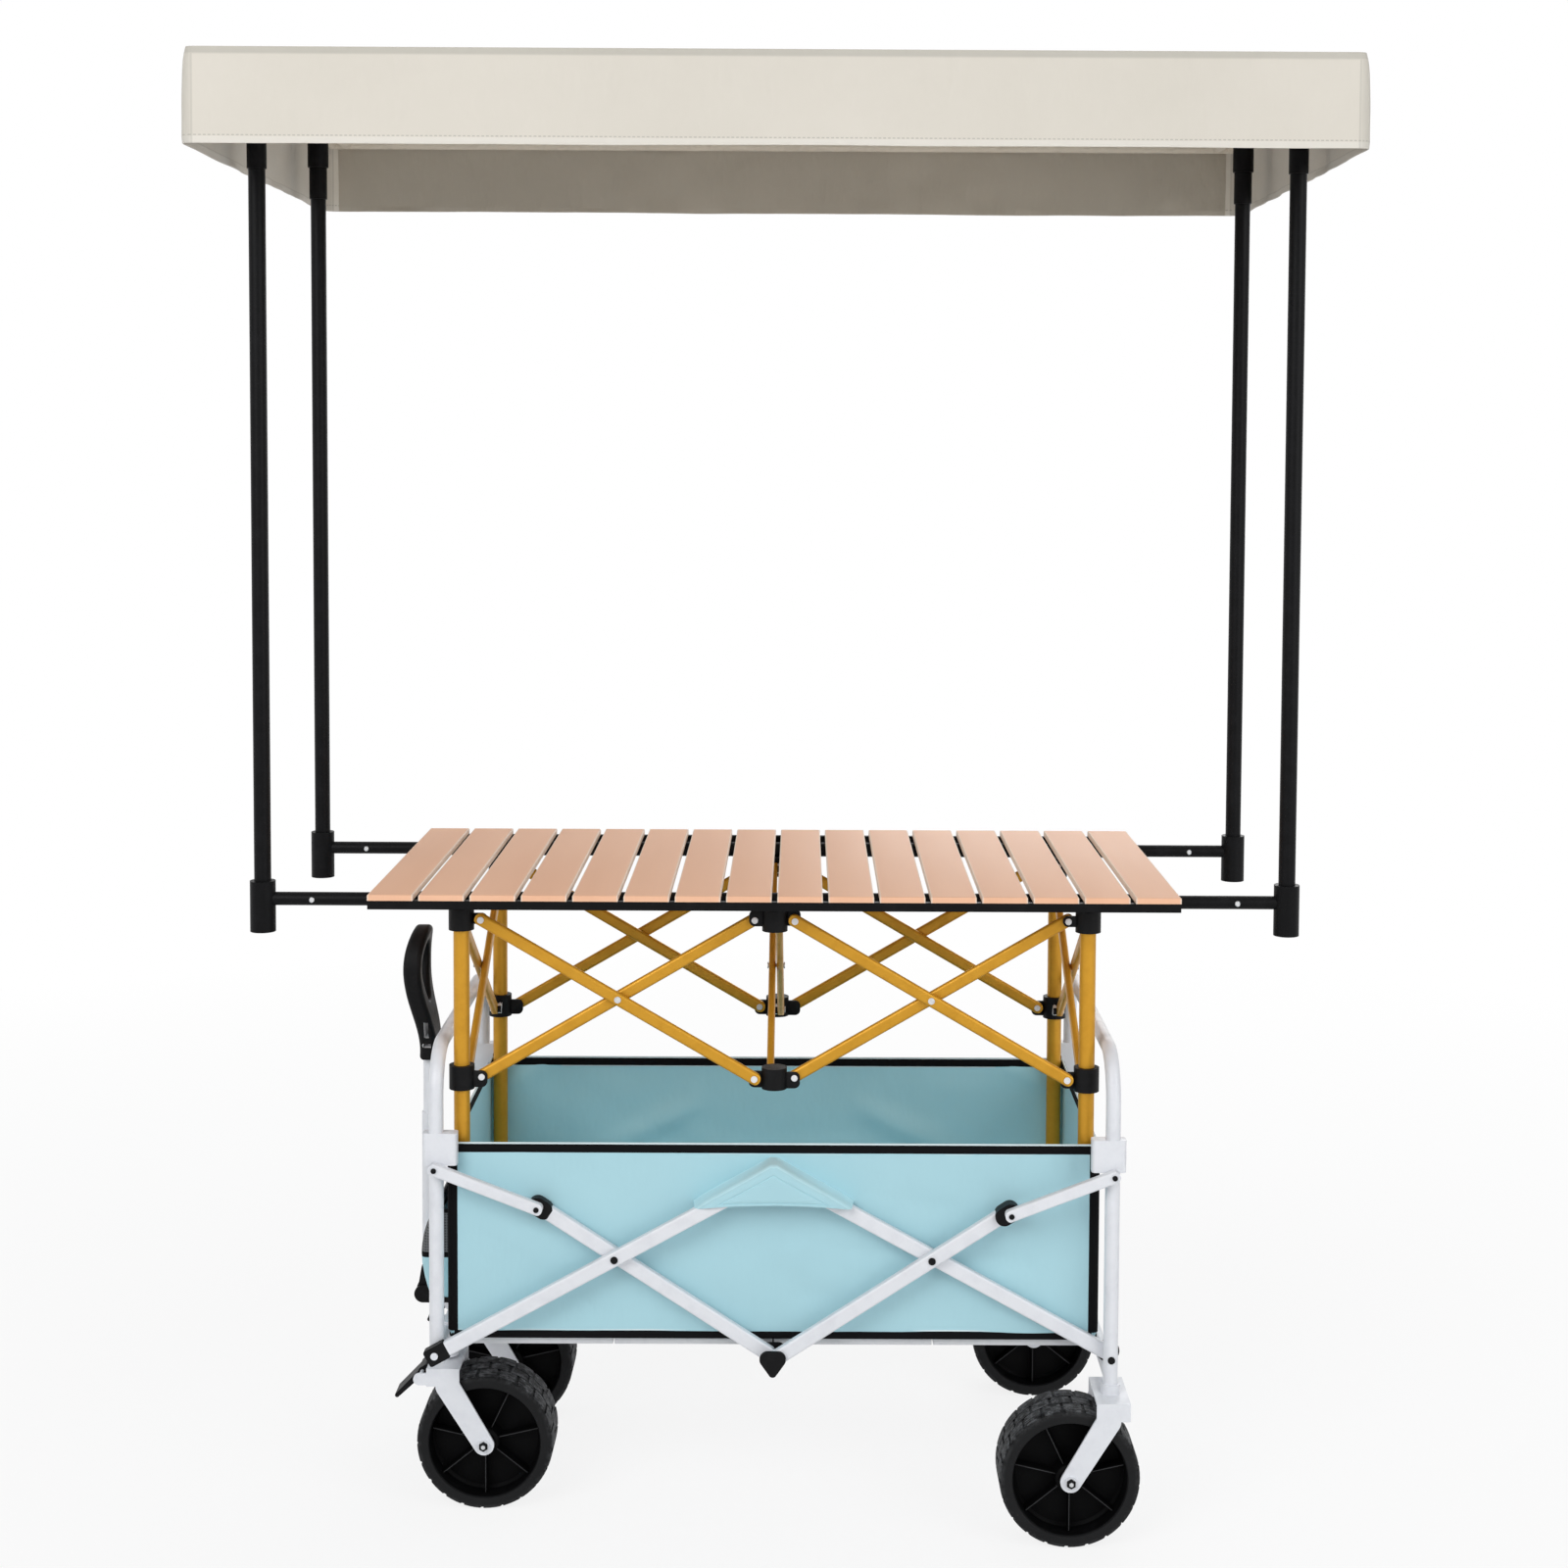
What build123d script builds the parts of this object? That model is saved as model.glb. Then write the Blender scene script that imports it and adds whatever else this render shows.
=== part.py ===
import math
import os

from build123d import *

os.makedirs("parts", exist_ok=True)

# The cart stands on its wheels at z = 0. X runs along the cart with the pull handle at -X,
# Y across it with the serving side at -Y, and Z up. The origin is under the middle of the canopy.

# Side scissors of the wagon
short_angle = 33.0
short_half = 271.4
knee_reach = 137.6
long_angle = 28.72
long_half = 303.8
long_upper = 251.5
hinge_half = 7.6
pivot_z = 272.0
tube_height = 22.0
tube_width = 15.0
tube_wall = 1.6
tube_corner = 3.5
layer_gap = 1.0
scissor_pin = 3.5
pin_play = 0.05
link_height = 18.0
cap_height = 27.0
cap_length = 11.0
foot_block_length = 34.0
foot_block_height = 26.0
rivet_head = 5.5
link_rivet = 4.0
rivet_rise = 1.6

# Basket and base board
basket_half_width = 257.0
basket_end_gap = 16.0
basket_floor_z = 287.4
basket_rim_z = 582.0
basket_wall = 3.0
basket_corner = 14.0
binding_height = 11.0
binding_rise = 2.0
side_gap = 10.0
board_thickness = 12.0
board_margin = 8.0
board_groove = 2.0
pocket_play = 1.5
pocket_sheet = 2.5
pocket_top_z = 563.0
pocket_mouth_z = 498.0

# End hoops
upright_radius = 11.0
upright_wall = 1.8
hoop_top_z = 725.0
hoop_bend = 70.0
left_bar_drop = 6.0
right_bar_drop = 28.5
crossbar_radius = 10.0
upright_tail = 4.0
collar_bottom_z = 556.0
collar_height = 48.0
collar_outer = 19.0
collar_inner = 32.0
link_pivot_z = 553.0
cheek_thickness = 4.0
cheek_radius = 17.0
centre_bar_drop = 6.3
centre_bar_radius = 9.0
block_rise = 12.0
block_drop = 21.0
block_point = 6.0

# Wheels, forks and brakes
wheel_radius = 104.0
wheel_width = 90.0
tyre_depth = 24.0
web_half = 6.0
rib_count = 7
rib_thickness = 4.0
rib_recess = 12.0
hub_radius = 16.0
axle_radius = 5.0
axle_head = 9.0
axle_head_rise = 4.0
wheel_trail = 62.0
fixed_wheel_y = 288.0
caster_y = 162.0
fork_plate = 4.0
fork_play = 4.0
fork_top_z = 222.0
fork_top_half = 25.0
fork_head_height = 27.0
fork_elbow_radius = 18.0
fork_leg_radius = 15.5
fork_collar_radius = 14.5
fork_collar_height = 14.0
stem_radius = 7.0
sleeve_radius = 17.0
sleeve_play = 4.0
ear_radius = 9.0
pedal_reach = 36.0
pedal_pivot_z = 206.0
pedal_pin = 3.0
pedal_width = 40.0
pedal_thickness = 10.0
pedal_length = 54.0
pedal_back = 8.0
pedal_slope = 44.0

# Pull handle
handle_x = 552.0
handle_hinge_out = 10.0
handle_tube_radius = 12.5
handle_rod_radius = 10.0
handle_tube_wall = 1.8
handle_play = 0.1
handle_tube_top_z = 560.0
handle_rod_bottom_z = 330.0
handle_pin = 4.0
knuckle_half = 12.0
knuckle_height = 34.0
knuckle_radius = 10.0
grip_bottom_z = 648.0
grip_centre_z = 800.0
grip_outer = 60.0
grip_bar = 24.0
grip_thickness = 28.0
grip_bow = 19.0
grip_round = 7.0
yoke_half = 22.0
yoke_height = 82.0
yoke_slot_length = 26.0
yoke_slot_width = 7.0

# Outside pocket of the left end
bag_bottom_z = 331.0
bag_top_z = 468.0
bag_depth = 52.0
bag_half_width = 212.0
bag_gap = 0.3

# Accordion frame of the table
strut_length = 472.6
strut_angle = 30.3
strut_height = 19.0
strut_width = 11.0
strut_wall = 1.3
strut_corner = 5.0
strut_gap = 0.6
lug_reach = 30.0
lug_radius = 8.0
lug_thickness = 5.7
rivet_radius = 3.0
strut_rivet_head = 5.0
strut_rivet_rise = 1.8
hub_outer = 19.0
hub_height = 32.0
slider_height = 36.0
leg_radius = 12.0
leg_wall = 1.4
slide_play = 0.1
foot_radius = 13.0
foot_height = 12.0
floor_play = 0.5

# Table top
rail_radius = 12.0
rail_play = 0.2
rail_bore_play = 0.1
rail_y = 229.0
strip_thickness = 10.0
strip_height = 13.0
strip_inset = 2.0
slat_count = 16
slat_pitch = 75.0
slat_gap = 8.5
slat_length = 616.0
slat_thickness = 9.0
slat_wall = 1.4
rail_z = 945.0
arm_radius = 10.0
arm_wall = 1.5
arm_overlap = 45.0
socket_radius = 19.0
socket_drop = 49.0
socket_rise = 27.0
socket_floor = 18.0
button_inset = 75.0
button_radius = 4.0
button_rise = 3.0
button_length = 14.0

# Canopy
post_radius = 12.5
post_wall = 1.2
socket_play = 0.1
sleeve_top_radius = 14.5
sleeve_top_z = 2026.0
connector_radius = 17.0
connector_z = 2078.0
saddle_half = 12.0
roof_z = 2162.0
valance_drop = 131.0
canopy_half_length = 804.0
post_inset = 39.0
canopy_half_width = 504.0
cloth_thickness = 2.5
frame_radius = 10.0
frame_gap = 0.4
canopy_corner = 12.0

# Places worked out from the sizes above
cos_short = math.cos(math.radians(short_angle))
sin_short = math.sin(math.radians(short_angle))
cos_long = math.cos(math.radians(long_angle))
sin_long = math.sin(math.radians(long_angle))
cross_x = hinge_half + short_half * cos_short
cross_z = pivot_z + short_half * sin_short
foot_x = cross_x + long_half * cos_long
foot_z = cross_z - long_half * sin_long
top_x = cross_x - long_upper * cos_long
top_z = cross_z + long_upper * sin_long
knee_x = cross_x + knee_reach * cos_short
knee_z = cross_z + knee_reach * sin_short
upright_x = foot_x
basket_half_length = upright_x - basket_end_gap
inner_y = basket_half_width + side_gap + tube_width / 2
outer_y = inner_y + tube_width + layer_gap
inner_face = inner_y + tube_width / 2
outer_face = outer_y + tube_width / 2
left_upright_y = outer_y - tube_width / 2 - layer_gap - upright_radius
right_upright_y = inner_face + layer_gap + upright_radius
right_link_y = right_upright_y + upright_radius + layer_gap + tube_width / 2
crossbar_z = foot_z - left_bar_drop
axle_x = upright_x - wheel_trail
wheel_z = wheel_radius
strut_run = strut_length * math.cos(math.radians(strut_angle))
strut_rise = strut_length * math.sin(math.radians(strut_angle))
hub_pitch = 2 * lug_reach + strut_run
row_y = hub_pitch / 2
hub_top_z = rail_z - rail_radius - rail_play
upper_z = hub_top_z - hub_height / 2
lower_z = upper_z - strut_rise
middle_z = (upper_z + lower_z) / 2
strut_offset = strut_gap + strut_width / 2
leg_bottom_z = basket_floor_z + basket_wall + floor_play
table_half_length = slat_count * slat_pitch / 2
slat_top_z = rail_z + rail_radius + slat_thickness
socket_bottom_z = rail_z - socket_drop
socket_top_z = rail_z + socket_rise
post_x = canopy_half_length - post_inset
button_x = post_x - button_inset
frame_z = roof_z - cloth_thickness - frame_gap - frame_radius
frame_half_length = canopy_half_length - cloth_thickness - frame_gap - frame_radius
frame_half_width = canopy_half_width - cloth_thickness - frame_gap - frame_radius


def save(builder, name):
    """Label a finished piece and write it."""
    builder.part.label = name
    export_step(builder.part, f"parts/{name}.step")


def side_plane(x, y, z, angle=0.0):
    """A plane facing the serving side, its x axis turned up by angle from +X."""
    turn = math.radians(angle)
    return Plane(origin=(x, y, z), x_dir=(math.cos(turn), 0, math.sin(turn)), z_dir=(0, -1, 0))


def between(start, finish, facing):
    """A plane halfway between two points, with x along them and the given normal."""
    run = Vector(*finish) - Vector(*start)
    return Plane(origin=(Vector(*start) + Vector(*finish)) * 0.5, x_dir=run, z_dir=facing), run.length


def flat_tube(plane, span, layers, height, width, wall, corner, holes, hole_radius):
    """Rectangular tubes with round ends, one at each layer along the plane's normal.

    Each hole is a distance along the tube from its first pivot.
    """
    start = -(span + height) / 2
    reach = max(abs(layer) for layer in layers) + width
    with BuildPart() as tube:
        for layer in layers:
            end = Plane(
                origin=plane.from_local_coords((start, 0, layer)), x_dir=plane.z_dir, z_dir=plane.x_dir
            )
            with BuildSketch(end):
                RectangleRounded(width, height, corner)
                RectangleRounded(
                    width - 2 * wall, height - 2 * wall, corner - wall, mode=Mode.SUBTRACT
                )
            extrude(amount=span + height)
        with BuildSketch(plane):
            SlotCenterToCenter(span, height)
        extrude(amount=reach, both=True, mode=Mode.INTERSECT)
        with BuildSketch(plane):
            with Locations(*[(hole - span / 2, 0) for hole in holes]):
                Circle(hole_radius)
        extrude(amount=reach, both=True, mode=Mode.SUBTRACT)
    return tube


# Bottom centre hinge: a cross bar under the board with a forked block at each end
bar_z = pivot_z - centre_bar_drop
slot_inner_y = inner_y - tube_width / 2 - layer_gap
block_inner_y = slot_inner_y - cheek_thickness
block_outer_y = outer_face + layer_gap + cheek_thickness
with BuildPart() as centre_hinge:
    with BuildSketch(Plane.XZ.offset(-block_inner_y)):
        with Locations((0, bar_z)):
            Circle(centre_bar_radius)
    extrude(amount=2 * block_inner_y)
    for side in (-1, 1):
        inner = Plane.XZ.offset(-side * block_inner_y)
        with BuildSketch(inner):
            with Locations((0, bar_z)):
                Circle(centre_bar_radius)
            with Locations((-hinge_half, pivot_z), (hinge_half, pivot_z)):
                Circle(block_rise)
            with Locations((0, pivot_z - block_drop)):
                Circle(block_point)
            make_hull()
        extrude(amount=-side * (block_outer_y - block_inner_y))
        with BuildSketch(Plane.XZ.offset(-side * slot_inner_y)):
            with Locations((0, pivot_z - tube_height / 2 - layer_gap)):
                Rectangle(4 * block_rise, 4 * block_rise, align=(Align.CENTER, Align.MIN))
        extrude(amount=-side * (outer_face + layer_gap - slot_inner_y), mode=Mode.SUBTRACT)
        with BuildSketch(inner):
            with Locations((-hinge_half, pivot_z), (hinge_half, pivot_z)):
                Circle(scissor_pin)
        extrude(amount=-side * (block_outer_y - block_inner_y))
save(centre_hinge, "centre_hinge")


# Side scissors. At the left end the long tubes run outside the short ones, at the right end inside them.
# The outer tube carries the crossing's rivet. The links lie over the short tubes' black knees.
def tube_pair(plane, span, layer, height, holes):
    """Two equal tubes, one on each side of the cart."""
    return flat_tube(
        plane, span, (-layer, layer), height, tube_width, tube_wall, tube_corner, holes,
        scissor_pin + pin_play,
    )


def rivet_pair(plane, along, face, head, length):
    """Rivets through a pair of tubes, with heads on their outer faces and shanks running inward."""
    with BuildPart() as rivets:
        for side in (-1, 1):
            with BuildSketch(plane.offset(side * face)):
                with Locations((along, 0)):
                    Circle(head)
            extrude(amount=side * rivet_rise)
            with BuildSketch(plane.offset(side * face)):
                with Locations((along, 0)):
                    Circle(scissor_pin)
            extrude(amount=-side * length)
    return rivets


def long_pair(end, layer, rivet_length):
    """The long tubes of one end, from the foot pins up into the basket's pockets."""
    plane, span = between((end * foot_x, 0, foot_z), (end * top_x, 0, top_z), (0, -1, 0))
    if not rivet_length:
        return tube_pair(plane, span, layer, tube_height, (0, long_half))
    tubes = tube_pair(plane, span, layer, tube_height, (0,))
    rivets = rivet_pair(plane, long_half - span / 2, layer + tube_width / 2, rivet_head, rivet_length)
    with BuildPart() as pair:
        add(tubes.part)
        add(rivets.part)
        for side in (-1, 1):
            with BuildSketch(plane.offset(side * (layer - tube_width / 2))):
                with Locations(((foot_block_length - foot_block_height - span) / 2, 0)):
                    RectangleRounded(foot_block_length, foot_block_height, tube_corner)
            extrude(amount=side * tube_width)
            with BuildSketch(plane.offset(side * (layer - tube_width / 2))):
                with Locations((-span / 2, 0)):
                    Circle(scissor_pin + pin_play)
            extrude(amount=side * tube_width, mode=Mode.SUBTRACT)
    return pair


def short_pair(end, layer, knee_rise, rivet_length):
    """The short tubes of one end, from the centre hinge up to their black knees."""
    plane, span = between((end * hinge_half, 0, pivot_z), (end * knee_x, 0, knee_z), (0, -1, 0))
    holes = (0, short_half)
    if rivet_length:
        holes = (0,)
    tubes = tube_pair(plane, span, layer, tube_height, holes)
    with BuildPart() as pair:
        add(tubes.part)
        for side in (-1, 1):
            with BuildSketch(plane.offset(side * (layer - tube_width / 2))):
                with Locations(((span - cap_length) / 2, 0)):
                    SlotCenterToCenter(cap_length, cap_height)
            extrude(amount=side * (tube_width + knee_rise))
        if rivet_length:
            crossing = short_half - span / 2
            rivets = rivet_pair(plane, crossing, layer + tube_width / 2, rivet_head, rivet_length)
            add(rivets.part)
    return pair


def link_pair(end, layer):
    """The links of one end, from the hoop's pins to the knees."""
    plane, span = between((end * upright_x, 0, link_pivot_z), (end * knee_x, 0, knee_z), (0, -1, 0))
    tubes = tube_pair(plane, span, layer, link_height, (0,))
    rivets = rivet_pair(plane, span / 2, layer + tube_width / 2, link_rivet, tube_width)
    with BuildPart() as pair:
        add(tubes.part)
        add(rivets.part)
    return pair


rivet_length = 2 * tube_width + layer_gap
knee_rise = right_link_y - outer_y - tube_width - layer_gap
save(long_pair(-1, outer_y, rivet_length), "long_tubes_left")
save(long_pair(1, inner_y, 0), "long_tubes_right")
save(short_pair(-1, inner_y, 0, 0), "short_tubes_left")
save(short_pair(1, outer_y, knee_rise, rivet_length), "short_tubes_right")
save(link_pair(-1, outer_y), "link_tubes_left")
save(link_pair(1, right_link_y), "link_tubes_right")


# Basket: an open fabric box with a bound rim and a triangular pocket over the scissor tops
def pocket_points(rise, cap_z, mouth_z):
    """The pocket's outline: a flat peak over the tube ends and two edges down to its mouth."""
    lift = rise / cos_long
    slope = sin_long / cos_long
    peak_x = top_x + (top_z + lift - cap_z) / slope
    mouth_x = top_x + (top_z + lift - mouth_z) / slope
    return [(-mouth_x, mouth_z), (-peak_x, cap_z), (peak_x, cap_z), (mouth_x, mouth_z)]


inner_rise = tube_height / 2 + pocket_play
outer_rise = inner_rise + pocket_sheet
tube_face = outer_face + layer_gap / 2
with BuildPart() as basket:
    with BuildSketch(Plane.XY.offset(basket_floor_z)):
        RectangleRounded(2 * basket_half_length, 2 * basket_half_width, basket_corner)
    extrude(amount=basket_rim_z - basket_floor_z)
    with BuildSketch(Plane.XY.offset(basket_rim_z - binding_height)):
        RectangleRounded(
            2 * (basket_half_length + binding_rise),
            2 * (basket_half_width + binding_rise),
            basket_corner + binding_rise,
        )
    extrude(amount=binding_height)
    for side in (-1, 1):
        wall = Plane.XZ.offset(-side * basket_half_width)
        with BuildSketch(wall):
            Polygon(*pocket_points(outer_rise, pocket_top_z, pocket_mouth_z), align=None)
        extrude(amount=-side * (tube_face + pocket_sheet - basket_half_width))
        with BuildSketch(wall):
            Polygon(
                *pocket_points(inner_rise, pocket_top_z - pocket_sheet, pocket_mouth_z - pocket_sheet),
                align=None,
            )
        extrude(amount=-side * (tube_face - basket_half_width), mode=Mode.SUBTRACT)
    with BuildSketch(Plane.XY.offset(basket_floor_z + basket_wall)):
        RectangleRounded(
            2 * (basket_half_length - basket_wall),
            2 * (basket_half_width - basket_wall),
            basket_corner - basket_wall,
        )
    extrude(amount=basket_rim_z, mode=Mode.SUBTRACT)
save(basket, "basket")

# Base board: a panel with three fold lines, under the basket floor
board_top_z = basket_floor_z - 0.4
board_half = basket_half_length - board_margin
with BuildPart() as base_board:
    with BuildSketch(Plane.XY.offset(board_top_z)):
        Rectangle(2 * board_half, 2 * (basket_half_width - board_margin))
    extrude(amount=-board_thickness)
    with BuildSketch(Plane.XY.offset(board_top_z)):
        with GridLocations(board_half / 2, 0, 3, 1):
            Rectangle(board_groove, 2 * basket_half_width)
    extrude(amount=-board_groove, mode=Mode.SUBTRACT)
save(base_board, "base_board")


# Wheel forks: a bent plate over the wheel with a leg on each side and a bolt as axle
fork_half = wheel_width / 2 + fork_play + fork_plate


def bent_fork(end, y, with_ear):
    """A fork whose legs lean in from under the stem to the axle, with ears for the brake if wanted."""
    elbow_x = upright_x + fork_elbow_radius - fork_top_half
    with BuildPart() as fork:
        with BuildSketch(Plane.XZ.offset(-(y + fork_half))):
            with Locations((end * axle_x, wheel_z)):
                Circle(fork_leg_radius)
            with Locations((end * elbow_x, fork_top_z - fork_head_height)):
                Circle(fork_elbow_radius)
            make_hull()
            with Locations((end * upright_x, fork_top_z)):
                Rectangle(2 * fork_top_half, fork_head_height, align=(Align.CENTER, Align.MAX))
            if with_ear:
                SlotCenterPoint(
                    (end * (upright_x + pedal_reach / 2), pedal_pivot_z),
                    (end * (upright_x + pedal_reach), pedal_pivot_z),
                    2 * ear_radius,
                )
        extrude(amount=2 * fork_half)
        with BuildSketch(Plane.XZ.offset(-(y + fork_half - fork_plate))):
            with Locations((end * (upright_x + axle_x) / 2, fork_top_z - fork_plate)):
                Rectangle(4 * wheel_radius, fork_top_z, align=(Align.CENTER, Align.MAX))
        extrude(amount=2 * (fork_half - fork_plate), mode=Mode.SUBTRACT)
        with BuildSketch(Plane.XZ.offset(-(y + fork_half + axle_head_rise))):
            with Locations((end * axle_x, wheel_z)):
                Circle(axle_radius)
        extrude(amount=2 * (fork_half + axle_head_rise))
        for side in (-1, 1):
            with BuildSketch(Plane.XZ.offset(-(y + side * fork_half))):
                with Locations((end * axle_x, wheel_z)):
                    Circle(axle_head)
            extrude(amount=-side * axle_head_rise)
    return fork


# End hoops with their lower bars, collars and link pins
def end_hoop(end, upright_y, tail_z, bar_z, link_layer):
    """A bent tube hoop standing at one end of the cart."""
    link_face = link_layer + tube_width / 2
    pin_start = upright_y + upright_radius / 2
    with BuildPart() as hoop:
        with BuildLine(Plane.YZ.offset(end * upright_x)):
            FilletPolyline(
                (-upright_y, tail_z), (-upright_y, hoop_top_z), (upright_y, hoop_top_z), (upright_y, tail_z),
                radius=hoop_bend,
            )
        with BuildSketch(Plane.XY.offset(tail_z)):
            with Locations((end * upright_x, -upright_y)):
                Circle(upright_radius)
                Circle(upright_radius - upright_wall, mode=Mode.SUBTRACT)
        sweep()
        with BuildSketch(Plane.XZ.offset(-upright_y)):
            with Locations((end * upright_x, bar_z)):
                Circle(crossbar_radius)
        extrude(amount=2 * upright_y)
        collar_length = collar_outer + collar_inner
        for side in (-1, 1):
            with BuildSketch(Plane.XY.offset(collar_bottom_z)):
                with Locations((end * (upright_x + (collar_outer - collar_inner) / 2), side * upright_y)):
                    RectangleRounded(collar_length, 2 * upright_radius, upright_radius / 2)
            extrude(amount=collar_height)
            with BuildSketch(Plane.XZ.offset(-side * pin_start)):
                with Locations((end * upright_x, link_pivot_z)):
                    Circle(scissor_pin)
            extrude(amount=-side * (link_face + rivet_rise - pin_start))
            with BuildSketch(Plane.XZ.offset(-side * (link_face + rivet_rise / 2))):
                with Locations((end * upright_x, link_pivot_z)):
                    Circle(link_rivet)
            extrude(amount=-side * rivet_rise)
    return hoop


# The left hoop carries the caster sleeves on its lower bar and the foot pins of the long tubes
sleeve_bottom = fork_top_z + sleeve_play
left_hoop = end_hoop(-1, left_upright_y, crossbar_z - crossbar_radius - upright_tail, crossbar_z, outer_y)
with BuildPart() as end_frame_left:
    add(left_hoop.part)
    for side in (-1, 1):
        with BuildSketch(Plane.XZ.offset(-side * (left_upright_y + upright_radius / 2))):
            with Locations((-foot_x, foot_z)):
                Circle(scissor_pin)
        extrude(amount=-side * (outer_face + rivet_rise - left_upright_y - upright_radius / 2))
        with BuildSketch(Plane.XZ.offset(-side * (outer_face + rivet_rise / 2))):
            with Locations((-foot_x, foot_z)):
                Circle(rivet_head)
        extrude(amount=-side * rivet_rise)
    with BuildSketch(Plane.XY.offset(sleeve_bottom)):
        with Locations((-upright_x, -caster_y), (-upright_x, caster_y)):
            Circle(sleeve_radius)
    extrude(amount=crossbar_z + crossbar_radius + sleeve_play - sleeve_bottom)
    with BuildSketch(Plane.XY.offset(sleeve_bottom)):
        with Locations((-upright_x, -caster_y), (-upright_x, caster_y)):
            Circle(stem_radius + pin_play)
    extrude(amount=crossbar_z + crossbar_radius - sleeve_bottom, mode=Mode.SUBTRACT)
save(end_frame_left, "end_frame_left")

# The right hoop stands on two welded forks, and its foot pins pass through the uprights
right_hoop = end_hoop(1, right_upright_y, fork_top_z - fork_plate, foot_z - right_bar_drop, right_link_y)
right_forks = [bent_fork(1, side * fixed_wheel_y, False) for side in (-1, 1)]
with BuildPart() as end_frame_right:
    add(right_hoop.part)
    for fork in right_forks:
        add(fork.part)
    for side in (-1, 1):
        with BuildSketch(Plane.XY.offset(fork_top_z)):
            with Locations((upright_x, side * right_upright_y)):
                Circle(fork_collar_radius)
                Circle(upright_radius - layer_gap, mode=Mode.SUBTRACT)
        extrude(amount=fork_collar_height)
        with BuildSketch(Plane.XZ.offset(-side * inner_face)):
            with Locations((foot_x, foot_z)):
                Circle(scissor_pin + pin_play)
        extrude(amount=-side * 3 * upright_radius, mode=Mode.SUBTRACT)
save(end_frame_right, "end_frame_right")

# Black cheeks behind the right foot, with bolts through the tube and the upright
cheek_y = inner_y - tube_width / 2 - layer_gap - cheek_thickness
bolt_face = right_upright_y + upright_radius
with BuildPart() as brackets_right:
    for side in (-1, 1):
        cheek = Plane.XZ.offset(-side * cheek_y)
        with BuildSketch(cheek):
            with Locations((foot_x, foot_z)):
                Circle(cheek_radius)
        extrude(amount=-side * cheek_thickness)
        with BuildSketch(cheek):
            with Locations((foot_x, foot_z)):
                Circle(scissor_pin)
        extrude(amount=-side * (bolt_face + rivet_rise - cheek_y))
        with BuildSketch(Plane.XZ.offset(-side * (bolt_face + pin_play))):
            with Locations((foot_x, foot_z)):
                Circle(rivet_head)
        extrude(amount=-side * rivet_rise)
save(brackets_right, "brackets_right")

# The handle's bracket, clamped on the left hoop's lower bar
handle_hinge_x = handle_x + handle_hinge_out
handle_bracket_y = knuckle_half + layer_gap / 2
with BuildPart() as brackets_left:
    with BuildSketch(Plane.XZ.offset(-(handle_bracket_y + cheek_thickness))):
        with Locations((-handle_hinge_x, crossbar_z), (-upright_x, crossbar_z)):
            Circle(crossbar_radius + cheek_thickness)
        make_hull()
    extrude(amount=2 * (handle_bracket_y + cheek_thickness))
    with BuildSketch(Plane.XZ.offset(-handle_bracket_y)):
        with Locations((-handle_hinge_x, crossbar_z)):
            Circle(knuckle_radius + 2 * layer_gap)
        with Locations((-handle_hinge_x, crossbar_z)):
            Rectangle(
                2 * (handle_hinge_out + handle_tube_radius) + layer_gap,
                4 * knuckle_radius,
            )
    extrude(amount=2 * handle_bracket_y, mode=Mode.SUBTRACT)
    with BuildSketch(Plane.XZ.offset(-(handle_bracket_y + cheek_thickness))):
        with Locations((-handle_hinge_x, crossbar_z)):
            Circle(handle_pin)
    extrude(amount=2 * (handle_bracket_y + cheek_thickness))
    with BuildSketch(Plane.XZ.offset(-left_upright_y)):
        with Locations((-upright_x, crossbar_z)):
            Circle(crossbar_radius + pin_play)
    extrude(amount=2 * left_upright_y, mode=Mode.SUBTRACT)
save(brackets_left, "brackets_left")


# Casters, brake pedals and wheels
for side, name in ((-1, "front"), (1, "back")):
    y = side * caster_y
    bare_fork = bent_fork(-1, y, True)
    with BuildPart() as caster_fork:
        add(bare_fork.part)
        with BuildSketch(Plane.XY.offset(fork_top_z - fork_plate / 2)):
            with Locations((-upright_x, y)):
                Circle(stem_radius)
        extrude(amount=crossbar_z - fork_top_z)
        with BuildSketch(Plane.XZ.offset(-(y + fork_half))):
            with Locations((-(upright_x + pedal_reach), pedal_pivot_z)):
                Circle(pedal_pin)
        extrude(amount=2 * fork_half)
    save(caster_fork, f"caster_fork_{name}")

    pivot = side_plane(-(upright_x + pedal_reach), y, pedal_pivot_z, pedal_slope)
    with BuildPart() as brake_pedal:
        with BuildSketch(pivot):
            Circle(pedal_thickness / 2 + pedal_pin / 2)
            with Locations((pedal_back, 0)):
                Circle(pedal_thickness / 2)
            make_hull()
        extrude(amount=pedal_width / 2, both=True)
        with BuildSketch(pivot):
            Circle(pedal_thickness / 2)
            with Locations((-pedal_length, 0)):
                Circle(pedal_thickness / 3)
            make_hull()
        extrude(amount=pedal_width / 2, both=True)
        with BuildSketch(pivot):
            Circle(pedal_pin + pin_play)
        extrude(amount=pedal_width, both=True, mode=Mode.SUBTRACT)
    save(brake_pedal, f"brake_pedal_{name}")

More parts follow.
